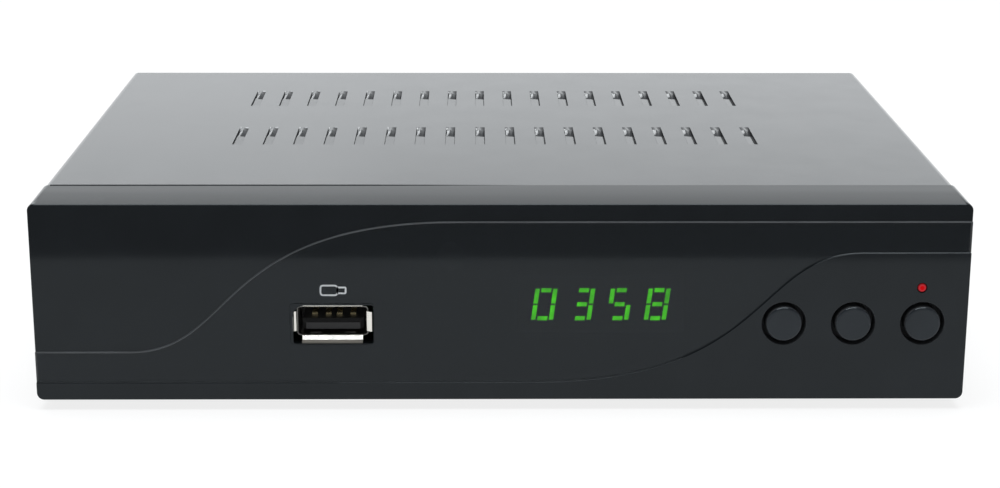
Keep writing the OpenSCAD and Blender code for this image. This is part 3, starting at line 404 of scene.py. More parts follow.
def lit_plastic(name, color, glow, strength):
    """A lit piece: its glow drifts a little from place to place."""
    made = material(name, color, 0.35, Emission_Strength=strength)
    drift(made, "Emission Color", shaded(glow, DIGIT_DIM), glow, GLOW_SPAN, DIGIT_PATCH)
    return made


def front_plastic(name, shade):
    """Black moulded plastic of the front, with a fine texture."""
    return plastic(
        name, shaded(FRONT_TINT, shade), 0.07, grain_size=0.3 * MM, grain_depth=0.0003 * MM,
        Specular_IOR_Level=0.29, Specular_Tint=COOL,
    )


def smoked_lens(name):
    made = material(
        name, (0.006, 0.007, 0.0085), 0.06, Alpha=0.82, Specular_IOR_Level=0.375, Specular_Tint=COOL,
    )
    vary_roughness(made, 0.055, 0.07, size=6 * MM)
    return made


def cover_paint(name):
    color = (0.05, 0.0515, 0.054)
    made = material(name, color, 0.15, Coat_Weight=0.25, Coat_Roughness=0.08, Specular_Tint=PALE_BLUE)
    mottle(made, shaded(color, 0.96), shaded(color, 1.05), size=20 * MM)
    vary_roughness(made, 0.135, 0.17, size=8 * MM)
    grain(made, size=1.4 * MM, depth=0.0016 * MM, detail=1.0)
    return made


def standby_glow(name):
    """Red lamp seen end on: a deep core, a paler ring and a dark rim."""
    low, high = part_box("standby_light_pipe")
    made = material(name, (0.06, 0.002, 0.002), 0.3, Emission_Strength=1.0, Specular_IOR_Level=0.04)
    tree = made.node_tree
    place = tree.nodes.new("ShaderNodeTexCoord")
    away = tree.nodes.new("ShaderNodeVectorMath")
    away.operation = "SUBTRACT"
    away.inputs[1].default_value = (low + high) / 2
    flat = tree.nodes.new("ShaderNodeVectorMath")
    flat.operation = "MULTIPLY"
    flat.inputs[1].default_value = (1, 0, 1)
    reach = tree.nodes.new("ShaderNodeVectorMath")
    reach.operation = "LENGTH"
    share = tree.nodes.new("ShaderNodeMapRange")
    share.inputs["From Max"].default_value = GLOW_REACH
    ramp = tree.nodes.new("ShaderNodeValToRGB")
    fill_ramp(ramp, GLOW_RINGS)
    tree.links.new(place.outputs["Object"], away.inputs[0])
    tree.links.new(away.outputs["Vector"], flat.inputs[0])
    tree.links.new(flat.outputs["Vector"], reach.inputs[0])
    tree.links.new(reach.outputs["Value"], share.inputs["Value"])
    tree.links.new(share.outputs["Result"], ramp.inputs["Fac"])
    tree.links.new(ramp.outputs["Color"], tree.nodes["Principled BSDF"].inputs["Emission Color"])
    return made


def fill_ramp(ramp, colors):
    """Gives a colour ramp these (place, colour) stops."""
    stops = ramp.color_ramp.elements
    while len(stops) > 1:
        stops.remove(stops[-1])
    for i, (at, color) in enumerate(colors):
        stop = stops[0] if i == 0 else stops.new(at)
        stop.position = at
        stop.color = (*color, 1)


# Looks of the record's material slots
LOOKS = {
    "bezel_plastic": lambda n: front_plastic(n, 0.006),
    "lens_smoke": smoked_lens,
    "cover_paint": cover_paint,
    "chassis_paint": lambda n: plastic(n, (0.03, 0.0305, 0.032), 0.38, grain_size=0.5 * MM),
    "foot_rubber": lambda n: plastic(n, (0.012, 0.012, 0.012), 0.8, 0.4 * MM, 0.01 * MM),
    "screw_black": lambda n: metal(n, (0.06, 0.06, 0.064), 0.36),
    "button_plastic": lambda n: front_plastic(n, 0.015),
    "switch_plastic": lambda n: plastic(n, (0.03, 0.03, 0.032), 0.5),
    "board_green": lambda n: plastic(n, (0.02, 0.12, 0.04), 0.3, 0.8 * MM, 0.006 * MM),
    "screw_zinc": lambda n: metal(n, (0.62, 0.62, 0.64), 0.3),
    "display_black": lambda n: plastic(n, (0.004, 0.004, 0.005), 0.6, Specular_IOR_Level=0.1),
    "bar_green": lambda n: lit_plastic(n, (0.07, 0.58, 0.02), glow=(0.075, 0.78, 0.0), strength=20.0),
    "bar_grey": lambda n: plastic(n, (0.012, 0.014, 0.012), 0.5),
    "spacer_white": lambda n: plastic(n, (0.78, 0.77, 0.72), 0.5),
    "light_red": standby_glow,
    "socket_black": lambda n: plastic(n, (0.014, 0.014, 0.015), 0.42, Specular_IOR_Level=0.4),
    "socket_metal": lambda n: metal(n, (0.78, 0.77, 0.72), 0.2),
    "contact_gold": lambda n: metal(n, (0.72, 0.6, 0.34), 0.26),
    "ribbon_grey": lambda n: plastic(n, (0.33, 0.34, 0.36), 0.5),
    "chip_black": lambda n: plastic(n, (0.02, 0.02, 0.022), 0.45),
    "sink_aluminium": lambda n: metal(n, (0.6, 0.61, 0.63), 0.35),
    "capacitor_sleeve": lambda n: plastic(n, (0.03, 0.05, 0.14), 0.3),
    "coil_ferrite": lambda n: plastic(n, (0.06, 0.06, 0.065), 0.6),
    "can_steel": lambda n: metal(n, (0.66, 0.66, 0.68), 0.3),
    "audio_orange": lambda n: plastic(n, (0.7, 0.17, 0.02), 0.4),
}

# Looks of faces and pieces that take no slot
EXTRA_LOOKS = {
    # Dark matt look of the button holes' walls and of the caps' sides and collars: painted shade for the
    # ring round each button
    "painted_hole_shade": lambda n: plastic(n, (0.034, 0.036, 0.039), 0.6, Specular_IOR_Level=0.15),
    # Front of the cover's hem: painted shade of the seam between the cover and the bezel
    "painted_seam_shade": lambda n: plastic(n, (0.16, 0.166, 0.172), 0.6, Specular_IOR_Level=0.2),
    # Dark plates at the sides of the louvres: painted shade of the gaps there
    "painted_louvre_shade": lambda n: plastic(n, (0.012, 0.012, 0.013), 0.6, Specular_IOR_Level=0.15),
    "pipe_red": lambda n: plastic(n, (0.05, 0.004, 0.004), 0.4),
    "line_grey": lambda n: plastic(n, (0.05, 0.054, 0.058), 0.4),
    "sign_ink": lambda n: plastic(n, (0.5, 0.51, 0.52), 0.5),
    # Dull dark metal on the front rim of the socket's tube, where the lips meet it: painted shade
    "painted_rim_shade": lambda n: metal(n, (0.2, 0.2, 0.19), 0.45),
    # Beige grey on the cut edge of the socket's lower lip: painted reflection of the lit lip
    "painted_lip_reflection": lambda n: plastic(n, (0.16, 0.15, 0.13), 0.6),
    # Pale grey of the sill under the socket's lower lip: painted reflection of the lit lip
    "painted_sill_reflection": lambda n: plastic(n, (0.13, 0.12, 0.1), 0.6),
}


def extra_look(name):
    return EXTRA_LOOKS[name](name)


def look_of(node):
    """The look that a CAD piece has."""
    return nodes[node].data.materials[0]


def dress_frame():
    """Gives every CAD piece the look of its material slot."""
    made = {}
    for piece in nodes.values():
        for place in piece.material_slots:
            name = place.material.name.split(".")[0]
            if name not in made:
                made[name] = LOOKS[name](name)
            place.material = made[name]


# Mesh pieces

def finish_piece(name, made, look, body="case"):
    """Turns a mesh in the making into a piece that rides on a body."""
    bmesh.ops.recalc_face_normals(made, faces=made.faces)
    mesh = bpy.data.meshes.new(name)
    made.to_mesh(mesh)
    made.free()
    mesh.materials.append(look)
    piece = bpy.data.objects.new(name, mesh)
    bpy.context.scene.collection.objects.link(piece)
    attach(piece, body)
    return piece


def soft_copy(name, edges, body="case", shape=None):
    """A copy of a CAD piece that stands for it, with broken edges: a list of (size, which edges)."""
    source = nodes[name].data
    plain = bpy.data.meshes.new(name)
    plain.from_pydata([v.co for v in source.vertices], [], [list(p.vertices) for p in source.polygons])
    made = bmesh.new()
    made.from_mesh(plain)
    bpy.data.meshes.remove(plain)
    bmesh.ops.remove_doubles(made, verts=made.verts, dist=WELD_GAP)
    bmesh.ops.dissolve_limit(made, angle_limit=FLAT_ANGLE, verts=made.verts, edges=made.edges)
    if shape:
        shape(made)
    for (width, rounds), chosen in edges:
        sharp = [e for e in made.edges if e.is_manifold and e.calc_face_angle() > EDGE_ANGLE and chosen(e)]
        bmesh.ops.bevel(
            made, geom=sharp, offset=width, offset_type="OFFSET", segments=rounds, profile=0.5,
            affect="EDGES", clamp_overlap=True,
        )
    piece = finish_piece("soft_" + name, made, source.materials[0], body)
    piece.data.set_sharp_from_angle(angle=SHARP_ANGLE)
    for face in piece.data.polygons:
        square = max(abs(c) for c in face.normal) > SQUARE_ON
        face.use_smooth = not square and face.area < LARGE_FACE
    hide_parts(name)
    return piece


def every_edge(edge):
    return True


def on_plane(edge, y):
    """True where both ends of an edge lie on a plane across the depth."""
    return all(abs(v.co.y - y) < WELD_GAP for v in edge.verts)


def on_front(name):
    """A test for edges on the front plane of a CAD piece."""
    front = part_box(name)[0].y
    return lambda edge: on_plane(edge, front)


def paint(piece, look, chosen):
    """Gives some faces of a piece a second look."""
    piece.data.materials.append(look)
    for face in piece.data.polygons:
        if chosen(face):
            face.material_index = len(piece.data.materials) - 1


def join_rings(made, rings):
    """Joins rings of points into a closed bar."""
    for a, b in zip(rings, rings[1:]):
        for i in range(len(a)):
            j = (i + 1) % len(a)
            made.faces.new((a[i], b[i], b[j], a[j]))
    made.faces.new(rings[0])
    made.faces.new(reversed(rings[-1]))


def rounded(x0, z0, x1, z1, radius):
    """Outline of a rectangle with round corners: one radius, or four from the upper right corner round."""
    corners = ((x1, z1, 0), (x0, z1, 90), (x0, z0, 180), (x1, z0, 270))
    radii = radius if isinstance(radius, tuple) else (radius,) * len(corners)
    points = []
    for (x, z, turn), r in zip(corners, radii):
        middle_x = x - r if x == x1 else x + r
        middle_z = z - r if z == z1 else z + r
        for i in range(CORNER_STEPS + 1):
            angle = math.radians(turn + 90 * i / CORNER_STEPS)
            points.append((middle_x + r * math.cos(angle), middle_z + r * math.sin(angle)))
    return points


def ring_plate(made, outer, inner, y, thickness):
    """Adds a flat frame to a mesh, between two outlines with as many points each."""
    rings = [
        [made.verts.new((x, depth, z)) for x, z in outline]
        for depth in (y, y - thickness) for outline in (outer, inner)
    ]
    back_outer, back_inner, front_outer, front_inner = rings
    for i in range(len(outer)):
        j = (i + 1) % len(outer)
        made.faces.new((back_outer[i], back_outer[j], back_inner[j], back_inner[i]))
        made.faces.new((front_outer[j], front_outer[i], front_inner[i], front_inner[j]))
        made.faces.new((back_outer[j], back_outer[i], front_outer[i], front_outer[j]))
        made.faces.new((back_inner[i], back_inner[j], front_inner[j], front_inner[i]))


def press_strip(made, start, along, outward, section, width):
    """Adds a bent strip of that width: the section's points are (behind the start, outward)."""
    rows = [
        [made.verts.new(start + along * side * width / 2 + Vector((0, back, 0)) + outward * out)
         for back, out in section]
        for side in (-1, 1)
    ]
    made.faces.new(rows[0])
    made.faces.new(reversed(rows[1]))
    for i in range(len(section)):
        j = (i + 1) % len(section)
        made.faces.new((rows[0][j], rows[0][i], rows[1][i], rows[1][j]))


def smooth_step(low, high, value):
    share = min(max((value - low) / (high - low), 0.0), 1.0)
    return share * share * (3 - 2 * share)


# Front

def dress_front():
    """The bezel, with round edges on its pad and outside and finer ones at the lens, and its buttons."""
    low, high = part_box("front_bezel")
    pad = low.y
    face = pad + PAD_STEP

    def on_face(edge):
        return on_plane(edge, face)

    def on_outside(edge):
        middle = (edge.verts[0].co + edge.verts[1].co) / 2
        near_side = min(middle.x - low.x, high.x - middle.x) < OUTER_ZONE
        near_end = min(middle.z - low.z, high.z - middle.z) < OUTER_ZONE
        return on_face(edge) and (near_side or near_end)

    def lower_ledge(made):
        back = face + LEDGE_D
        for i in range(1, LEDGE_ROWS):
            cut = (0, face + LEDGE_D * i / LEDGE_ROWS, 0)
            bmesh.ops.bisect_plane(
                made, geom=made.verts[:] + made.edges[:] + made.faces[:], plane_co=cut, plane_no=(0, 1, 0),
            )
        for v in made.verts:
            if v.co.z > high.z - WELD_GAP:
                v.co.z -= LEDGE_FALL * max((back - v.co.y) / LEDGE_D, 0) ** 2

    bezel = soft_copy("front_bezel", [
        (PAD_EDGE, on_front("front_bezel")),
        (OUTER_EDGE, on_outside),
        (FACE_EDGE, on_face),
    ], shape=lower_ledge)
    smooth_ledge(bezel.data, high.z - 2 * LEDGE_FALL)
    # The walls of the button holes and the caps' sides and collars get painted shade
    painted_hole_shade = extra_look("painted_hole_shade")
    shade_button_holes(bezel, painted_hole_shade)
    for name, body in BUTTONS.items():
        dress_button(name, body, painted_hole_shade)


def smooth_ledge(mesh, level):
    """Shades the rows of the bezel's ledge as one surface, apart from the edges round it."""
    users = {}
    for face in mesh.polygons:
        row = face.normal.z > LEDGE_UP and face.center.z > level
        if row:
            face.use_smooth = True
        for key in face.edge_keys:
            users.setdefault(key, []).append(row)
    for edge in mesh.edges:
        rows = users[edge.key]
        if any(rows) and not all(rows):
            edge.use_edge_sharp = True


def shade_button_holes(bezel, look):
    """Gives the walls of the button holes a dark matt look: painted shade for the ring round each button.
    """
    boxes = [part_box(name) for name in BUTTONS]
    middles = [((low.x + high.x) / 2, (low.z + high.z) / 2) for low, high in boxes]

    def in_hole(face):
        corners = [bezel.data.vertices[i].co for i in face.vertices]
        return face.normal.y > -FACES_FRONT and any(
            all(math.hypot(c.x - x, c.z - z) < HOLE_REACH for c in corners) for x, z in middles
        )

    paint(bezel, look, in_hole)


def dress_button(name, body, hole_shade_look):
    """A button cap: its side and its collar take the dark matt look of the holes' walls, painted shade for
    the ring round it.
    """
    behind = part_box(name)[0].y + CAP_D
    paint(soft_copy(name, [], body), hole_shade_look, lambda f: f.normal.y > CAP_SIDE or f.center.y > behind)


def raise_hem():
    """Front edge of the cover: it stands a little proud of the ledge on the left, with a darker front that
    is painted shade of the seam.
    """
    low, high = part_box("front_bezel")
    front = low.y + PAD_STEP + LEDGE_D
    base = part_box("top_cover")[1].z - HEM_SUNK
    made = bmesh.new()
    rings = []
    for i in range(HEM_STEPS + 1):
        x = HEM_LEFT + (HEM_RIGHT - HEM_LEFT) * i / HEM_STEPS
        top = high.z - HEM_SUNK + HEM_H * (1 - smooth_step(HEM_FADE, HEM_RIGHT, x))
        section = ((0, base), (0, top), (HEM_D, top), (HEM_D, base))
        rings.append([made.verts.new((x, front + y, z)) for y, z in section])
    join_rings(made, rings)
    hem = finish_piece("cover_hem", made, look_of("top_cover"))
    # Its front face gets painted shade of the seam
    paint(hem, extra_look("painted_seam_shade"), lambda f: f.normal.y < -FACES_FRONT)


def dress_light():
    """The standby light: it shows red at its round front only."""
    lit_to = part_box("standby_light_pipe")[0].y + LIGHT_D
    pipe = soft_copy("standby_light_pipe", [(LIGHT_EDGE, on_front("standby_light_pipe"))])
    paint(pipe, extra_look("pipe_red"), lambda f: f.center.y > lit_to)


def front_outline(name):
    """The longest loop of edges round the front face of a CAD piece, as points in order."""
    mesh = nodes[name].data
    front = min(v.co.y for v in mesh.vertices)
    uses = {}
    for face in mesh.polygons:
        if all(mesh.vertices[i].co.y < front + WELD_GAP for i in face.vertices):
            for edge in face.edge_keys:
                uses[edge] = uses.get(edge, 0) + 1
    beside = {}
    for a, b in (edge for edge, count in uses.items() if count == 1):
        beside.setdefault(a, []).append(b)
        beside.setdefault(b, []).append(a)
    loops = []
    while beside:
        loop = [min(beside)]
        while True:
            ahead = [i for i in beside.pop(loop[-1]) if i in beside]
            if not ahead:
                break
            loop.append(ahead[0])
        loops.append([mesh.vertices[i].co.copy() for i in loop])
    return max(loops, key=len)


def edge_paths(name):
    """The upper and the lower part of a front outline, each from its left end to its right end."""
    loop = front_outline(name)
    low_x, high_x = min(p.x for p in loop), max(p.x for p in loop)
    start = max((p for p in loop if p.x < low_x + WELD_GAP), key=lambda p: p.z)
    end = max((p for p in loop if p.x > high_x - WELD_GAP), key=lambda p: p.z)
    at = loop.index(start)
    loop = loop[at:] + loop[:at]
    if loop[1].x < low_x + WELD_GAP:
        loop = loop[:1] + loop[:0:-1]
    split = loop.index(end) + 1
    return loop[:split], loop[:split - 1:-1]


def sweep(name, path, section, look):
    """A closed bead along a path on the front: the section's points are (down from the path, forward)."""
    made = bmesh.new()
    rings = []
    for i, point in enumerate(path):
        before, after = path[max(i - 1, 0)], path[min(i + 1, len(path) - 1)]
        along = (after - before).normalized()
        down = Vector((along.z, 0, -along.x))
        rings.append([made.verts.new(point + down * d + Vector((0, -f, 0))) for d, f in section])
    join_rings(made, rings)
    return finish_piece(name, made, look)


def draw_lines():
    """A pale bead on the lens's upper edge, and a filler that closes the gap along its lower edge."""
    upper, lower = edge_paths("fascia_lens")
    for line in (upper, lower):
        line[0].x += LINE_SHORT
        line[-1].x -= LINE_SHORT
    sweep("upper_line", upper, UPPER_BEAD, extra_look("line_grey"))
    sweep("lower_filler", lower, LOWER_BEAD, look_of("front_bezel"))


# Front socket

def socket_middle():
    low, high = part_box("usb_shell")
    return (low + high) / 2


def print_stick_sign():
    """Sign above the front socket: a plain memory stick with its plug to the right."""
    middle = socket_middle()
    x = middle.x + SIGN_SIDE
    z = middle.z + SIGN_UP
    left = x - SIGN_W / 2
    body_end = left + SIGN_BODY
    plug_start = body_end - SIGN_LINE
    plug_end = x + SIGN_W / 2
    line = SIGN_LINE
    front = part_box("fascia_lens")[0].y
    made = bmesh.new()
    for x0, x1, half, corner in (
        (left, body_end, SIGN_H / 2, SIGN_ROUND),
        (plug_start, plug_end, SIGN_PLUG / 2, SIGN_PLUG_ROUND),
    ):
        outer = rounded(x0, z - half, x1, z + half, corner)
        inner = rounded(x0 + line, z - half + line, x1 - line, z + half - line, corner - line)
        ring_plate(made, outer, inner, front, SIGN_INK)
    finish_piece("stick_sign", made, extra_look("sign_ink"))


def tube(made, outline, wall, start, end):
    """Adds a tube along the depth to a mesh: the outline is its inside, as corners and a radius."""
    x0, z0, x1, z1, corner = outline
    inner = rounded(x0, z0, x1, z1, corner)
    outer = rounded(x0 - wall, z0 - wall, x1 + wall, z1 + wall, corner + wall)
    ring_plate(made, outer, inner, end, end - start)


def lip_section(flat, turn, wall):
    """Section of a lip that turns out of the shell's wall and ends in a flat part of that length."""
    inside = [(LIP_ROOT, 0.0)]
    for i in range(LIP_STEPS + 1):
        angle = turn * i / LIP_STEPS
        inside.append((LIP_BEND_AT - LIP_R * math.sin(angle), LIP_R * (1 - math.cos(angle))))
    back, out = inside[-1]
    inside.append((back - flat * math.cos(turn), out + flat * math.sin(turn)))
    slope = Vector((math.sin(turn), math.cos(turn))) * wall
    outside = [(inside[-1][0] + slope.x, inside[-1][1] + slope.y)]
    outside.append((LIP_BEND_AT, wall))
    outside.append((LIP_ROOT, wall))
    return inside + outside


def build_socket():
    """Shell of the front socket: a folded tube with a flared lip on each side and leaves in its floor."""
    middle = socket_middle()
    low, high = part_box("usb_shell")
    mouth = low.y
    half_w, half_h = SHELL_W / 2, SHELL_H / 2
    made = bmesh.new()
    outline = (middle.x - half_w, middle.z - half_h, middle.x + half_w, middle.z + half_h, SHELL_CORNER)
    rim = mouth + LIP_ROOT - LIP_LAP
    tube(made, outline, SHELL_WALL, rim, high.y)
    across, up = Vector((1, 0, 0)), Vector((0, 0, 1))
    start = Vector((middle.x, mouth, middle.z))
    for outward, along, half, width, flat, turn, wall in (
        (up, across, half_h, LIP_W, LIP_FLAT_TOP, LIP_TURN, SHELL_WALL),
        (-up, across, half_h, LIP_W, LIP_FLAT_BOTTOM, LIP_TURN_BOTTOM, LIP_EDGE),
        (across, up, half_w + LIP_RIGHT_OUT, LIP_H, LIP_FLAT_RIGHT, LIP_TURN, SHELL_WALL),
        (-across, up, half_w + LIP_LEFT_OUT, LIP_H, LIP_FLAT_LEFT, LIP_TURN, SHELL_WALL),
    ):
        press_strip(made, start + outward * half, along, outward, lip_section(flat, turn, wall), width)
    for side in (-1, 1):
        place = start - up * half_h + across * side * LEAF_SIDE
        press_strip(made, place, across, -up, LEAF_SECTION, LEAF_W)
    shell = finish_piece("socket_shell", made, look_of("usb_shell"))
    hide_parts("usb_shell")
    lip_end = middle.z - half_h - LIP_FLAT_BOTTOM / 2

    def on_rim(face):
        return abs(face.center.y - rim) < WELD_GAP

    def on_lip_edge(face):
        turned = face.normal.y < -LIP_EDGE_FRONT and face.normal.z < -LIP_EDGE_DOWN
        return turned and face.center.z < lip_end

    # Front rim of the tube, where the lips meet it: painted shade
    paint(shell, extra_look("painted_rim_shade"), on_rim)
    # Cut edge of the lower lip: painted reflection of the lit lip
    paint(shell, extra_look("painted_lip_reflection"), on_lip_edge)


def trim_opening():
    """Thin black trim that lines the lens's opening round the socket."""
    middle = socket_middle()
    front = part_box("fascia_lens")[0].y
    x0, x1 = middle.x - OPENING_W / 2, middle.x + OPENING_W / 2
    z0, z1 = middle.z - OPENING_H / 2, middle.z + OPENING_H / 2
    outer = rounded(x0, z0, x1, z1, TRIM_CORNER)
    inner = rounded(x0 + TRIM_LEFT, z0 + TRIM_BOTTOM, x1 - TRIM_RIGHT, z1 - TRIM_TOP, TRIM_CORNERS)
    made = bmesh.new()
    ring_plate(made, outer, inner, front + TRIM_T, TRIM_T)
    finish_piece("socket_trim", made, look_of("front_bezel"))


def lay_sill():
    """A pale sill between the lower lip and the opening's lower edge: painted reflection of the lit lip."""
    middle = socket_middle()
    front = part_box("fascia_lens")[0].y + SILL_BACK
    base = middle.z - OPENING_H / 2 + TRIM_BOTTOM
    made = bmesh.new()
    section = [
        (0.0, 0.0), (0.0, SILL_H - SILL_EDGE), (SILL_EDGE, SILL_H), (SILL_D, SILL_H), (SILL_D, 0.0),
    ]
    press_strip(made, Vector((middle.x, front, base)), Vector((1, 0, 0)), Vector((0, 0, 1)), section, LIP_W)
    finish_piece("socket_sill_reflection", made, extra_look("painted_sill_reflection"))


def slant_tongue():
    """Socket tongue with slanted faces round its front, apart from the lower edge."""
    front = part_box("usb_tongue")[0].y
    low_edge = min(v.co.z for v in nodes["usb_tongue"].data.vertices if v.co.y < front + WELD_GAP)

    def slanted(edge):
        ends = [v.co.z for v in edge.verts]
        return on_plane(edge, front) and max(ends) > low_edge + WELD_GAP

    soft_copy("usb_tongue", [((TONGUE_SLANT, 1), slanted)])


# Louvres

def press_louvres():
    """Pressed strips in the cover's louvres, and thin dark plates on both sides of them: painted shade of
    the gaps there.
    """
    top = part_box("top_cover")[1].z
    strips = bmesh.new()
    shade_plates = bmesh.new()
    for row_y in LOUVRE_ROWS:
        for i in range(LOUVRE_COUNT):
            x = LOUVRE_X + (i - (LOUVRE_COUNT - 1) / 2) * LOUVRE_PITCH
            louvre_strip(strips, x, row_y + LOUVRE_L / 2, top)
            for side in (-1, 1):
                shade_plate(shade_plates, x + side * (LOUVRE_W / 2 - SHADE_PLATE_T), row_y, top)
    piece = finish_piece("louvre_strips", strips, look_of("top_cover"))
    for face in piece.data.polygons:
        face.use_smooth = True
    piece.data.set_sharp_from_angle(angle=SHARP_ANGLE)
    finish_piece("louvre_shade_plates", shade_plates, extra_look("painted_louvre_shade"))


def shade_plate(made, x, y, top):
    """Adds a thin dark plate along one side of a louvre: painted shade of the gap there."""
    corners = [
        made.verts.new((x + a * SHADE_PLATE_T / 2, y + b * LOUVRE_L / 2, top - drop))
        for a in (-1, 1) for b in (-1, 1) for drop in (SHADE_PLATE_DEPTH, SHADE_PLATE_T)
    ]
    for face in BOX_FACES:
        made.faces.new([corners[i] for i in face])


def louvre_strip(made, x, back, top):
    """Adds one strip: a grid of points above, and one below that follows it."""
    across = [i / STRIP_COLUMNS for i in range(STRIP_COLUMNS + 1)]
    along = [LOUVRE_L, STRIP_RISE_L + STRIP_STEP_L]
    along += [STRIP_RISE_L * (1 - i / STRIP_ROWS) for i in range(STRIP_ROWS + 1)]

    def point(u, run, drop):
        side = x + STRIP_LEFT + (STRIP_RIGHT - STRIP_LEFT) * u
        return made.verts.new((side, back - run, top - drop + strip_height(u, run)))

    upper, lower = [[[point(u, run, drop) for u in across] for run in along] for drop in (0.0, STRIP_T)]
    rows, columns = len(along), len(across)
    for r in range(rows - 1):
        for c in range(columns - 1):
            made.faces.new((upper[r][c], upper[r][c + 1], upper[r + 1][c + 1], upper[r + 1][c]))
            made.faces.new((lower[r][c], lower[r + 1][c], lower[r + 1][c + 1], lower[r][c + 1]))
    rim = [(0, c) for c in range(columns)] + [(r, columns - 1) for r in range(1, rows)]
    rim += [(rows - 1, c) for c in range(columns - 2, -1, -1)] + [(r, 0) for r in range(rows - 2, 0, -1)]
    for a, b in zip(rim, rim[1:] + rim[:1]):
        made.faces.new((upper[b[0]][b[1]], upper[a[0]][a[1]], lower[a[0]][a[1]], lower[b[0]][b[1]]))


def strip_height(u, run):
    """Height of a strip above the cover: u goes from left to right, and run from the back end forward."""
    if run > STRIP_RISE_L:
        return -STRIP_DEPTH_LEFT - (STRIP_DEPTH_RIGHT - STRIP_DEPTH_LEFT) * u
    ramp = -min((RAMP_LEFT + (RAMP_RIGHT - RAMP_LEFT) * u) * run, RAMP_DEEPEST)
    side = u / RIDGE_AT if u < RIDGE_AT else (1 - u) / (1 - RIDGE_AT)
    ridge = RIDGE_H * side * min(run / RIDGE_BACK, 1.0)
    return min(ramp + ridge * (1 - smooth_step(*RIDGE_FADE, run)), RIDGE_CREST)


# Stage

def larger(tree, a, b):
    """The larger of two values in a node tree."""
    node = tree.nodes.new("ShaderNodeMath")
    node.operation = "MAXIMUM"
    tree.links.new(a, node.inputs[0])
    tree.links.new(b, node.inputs[1])
    return node.outputs[0]


def floor_material():
    """Pale and matt: to the camera and in reflections it is nearly white, and it keeps the shadow."""
    made = bpy.data.materials.new("floor_pale")
    made.use_nodes = True
    tree = made.node_tree
    tree.nodes.remove(tree.nodes["Principled BSDF"])
    diffuse = tree.nodes.new("ShaderNodeBsdfDiffuse")
    diffuse.inputs["Color"].default_value = FLOOR_PALE
    glow = tree.nodes.new("ShaderNodeEmission")
    path = tree.nodes.new("ShaderNodeLightPath")
    seen = larger(tree, path.outputs["Is Camera Ray"], path.outputs["Is Glossy Ray"])
    seen = larger(tree, seen, path.outputs["Is Transmission Ray"])
    share = tree.nodes.new("ShaderNodeMath")
    share.operation = "MULTIPLY"
    share.inputs[1].default_value = FLOOR_GLOW
    mix = tree.nodes.new("ShaderNodeMixShader")
    tree.links.new(seen, share.inputs[0])
    tree.links.new(share.outputs[0], mix.inputs[0])
    tree.links.new(diffuse.outputs[0], mix.inputs[1])
    tree.links.new(glow.outputs[0], mix.inputs[2])
    tree.links.new(mix.outputs[0], tree.nodes["Material Output"].inputs["Surface"])
    return made


def lay_floor():
    mesh = bpy.data.meshes.new("floor")
    front = cad_box[0].y - FLOOR_FRONT
    corners = [
        (-FLOOR_REACH, front, 0), (FLOOR_REACH, front, 0),
        (FLOOR_REACH, FLOOR_REACH, 0), (-FLOOR_REACH, FLOOR_REACH, 0),
    ]
    mesh.from_pydata(corners, [], [(0, 1, 2, 3)])
    mesh.materials.append(floor_material())
    floor = bpy.data.objects.new("floor", mesh)
    bpy.context.scene.collection.objects.link(floor)


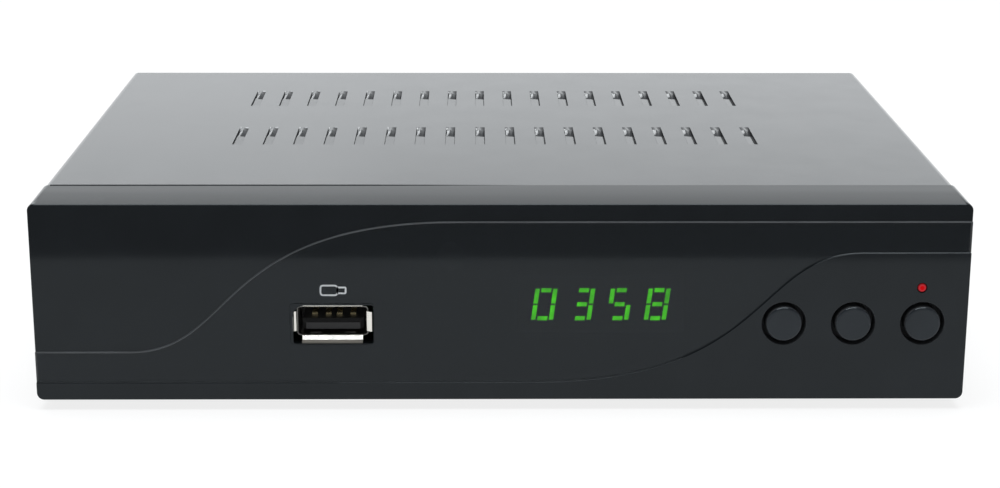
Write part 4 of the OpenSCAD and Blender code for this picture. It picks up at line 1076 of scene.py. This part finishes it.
def light_surroundings():
    """A white studio: bright round the horizon, dark above it and bright overhead."""
    world = bpy.data.worlds.new("studio")
    bpy.context.scene.world = world
    world.use_nodes = True
    tree = world.node_tree
    sky = tree.nodes["Background"]
    place = tree.nodes.new("ShaderNodeTexCoord")
    split = tree.nodes.new("ShaderNodeSeparateXYZ")
    shift = tree.nodes.new("ShaderNodeMapRange")
    shift.inputs["From Min"].default_value = -1
    shift.inputs["From Max"].default_value = 1
    ramp = tree.nodes.new("ShaderNodeValToRGB")
    fill_ramp(ramp, [
        ((math.sin(math.radians(elevation)) + 1) / 2, shaded(LIGHT_TINT, level)) for elevation, level in SKY
    ])
    path = tree.nodes.new("ShaderNodeLightPath")
    white = tree.nodes.new("ShaderNodeBackground")
    white.inputs["Color"].default_value = (1, 1, 1, 1)
    mix = tree.nodes.new("ShaderNodeMixShader")
    tree.links.new(place.outputs["Generated"], split.inputs[0])
    tree.links.new(split.outputs["Z"], shift.inputs["Value"])
    tree.links.new(shift.outputs["Result"], ramp.inputs["Fac"])
    tree.links.new(ramp.outputs["Color"], sky.inputs["Color"])
    tree.links.new(path.outputs["Is Camera Ray"], mix.inputs[0])
    tree.links.new(sky.outputs[0], mix.inputs[1])
    tree.links.new(white.outputs[0], mix.inputs[2])
    tree.links.new(mix.outputs[0], tree.nodes["World Output"].inputs["Surface"])


def hang_lamp(name, at, aim, size, power):
    data = bpy.data.lights.new(name, "AREA")
    data.shape = "RECTANGLE"
    data.size, data.size_y = size
    data.energy = power
    data.color = LIGHT_TINT
    made = bpy.data.objects.new(name, data)
    made.location = at
    made.rotation_euler = (Vector(aim) - Vector(at)).to_track_quat("-Z", "Y").to_euler()
    bpy.context.scene.collection.objects.link(made)


def set_camera():
    sight = Vector((
        math.sin(CAMERA_RIGHT) * math.cos(CAMERA_DOWN),
        math.cos(CAMERA_RIGHT) * math.cos(CAMERA_DOWN),
        -math.sin(CAMERA_DOWN),
    ))
    across = Vector((math.cos(CAMERA_RIGHT), -math.sin(CAMERA_RIGHT), 0))
    up = across.cross(sight)
    turned_across = across * math.cos(CAMERA_ROLL) - up * math.sin(CAMERA_ROLL)
    turned_up = across * math.sin(CAMERA_ROLL) + up * math.cos(CAMERA_ROLL)
    data = bpy.data.cameras.new("camera")
    data.sensor_fit = "HORIZONTAL"
    data.sensor_width = SENSOR_W
    data.lens = CAMERA_LENS
    data.clip_start = CAMERA_CLIP
    camera = bpy.data.objects.new("camera", data)
    turn = Matrix((turned_across, turned_up, -sight)).transposed()
    camera.matrix_world = Matrix.Translation(CAMERA_AT) @ turn.to_4x4()
    bpy.context.scene.collection.objects.link(camera)
    bpy.context.scene.camera = camera


dress_frame()
dress_front()
raise_hem()
soft_copy("fascia_lens", [(LENS_EDGE, on_front("fascia_lens"))])
soft_copy("rubber_feet", [(FOOT_EDGE, every_edge)])
dress_light()
draw_lines()
print_stick_sign()
build_socket()
trim_opening()
lay_sill()
slant_tongue()
press_louvres()

light_surroundings()
lay_floor()
for lamp_name, lamp_values in LAMPS.items():
    hang_lamp(lamp_name, *lamp_values)
set_camera()
bpy.context.scene.view_settings.view_transform = "Standard"
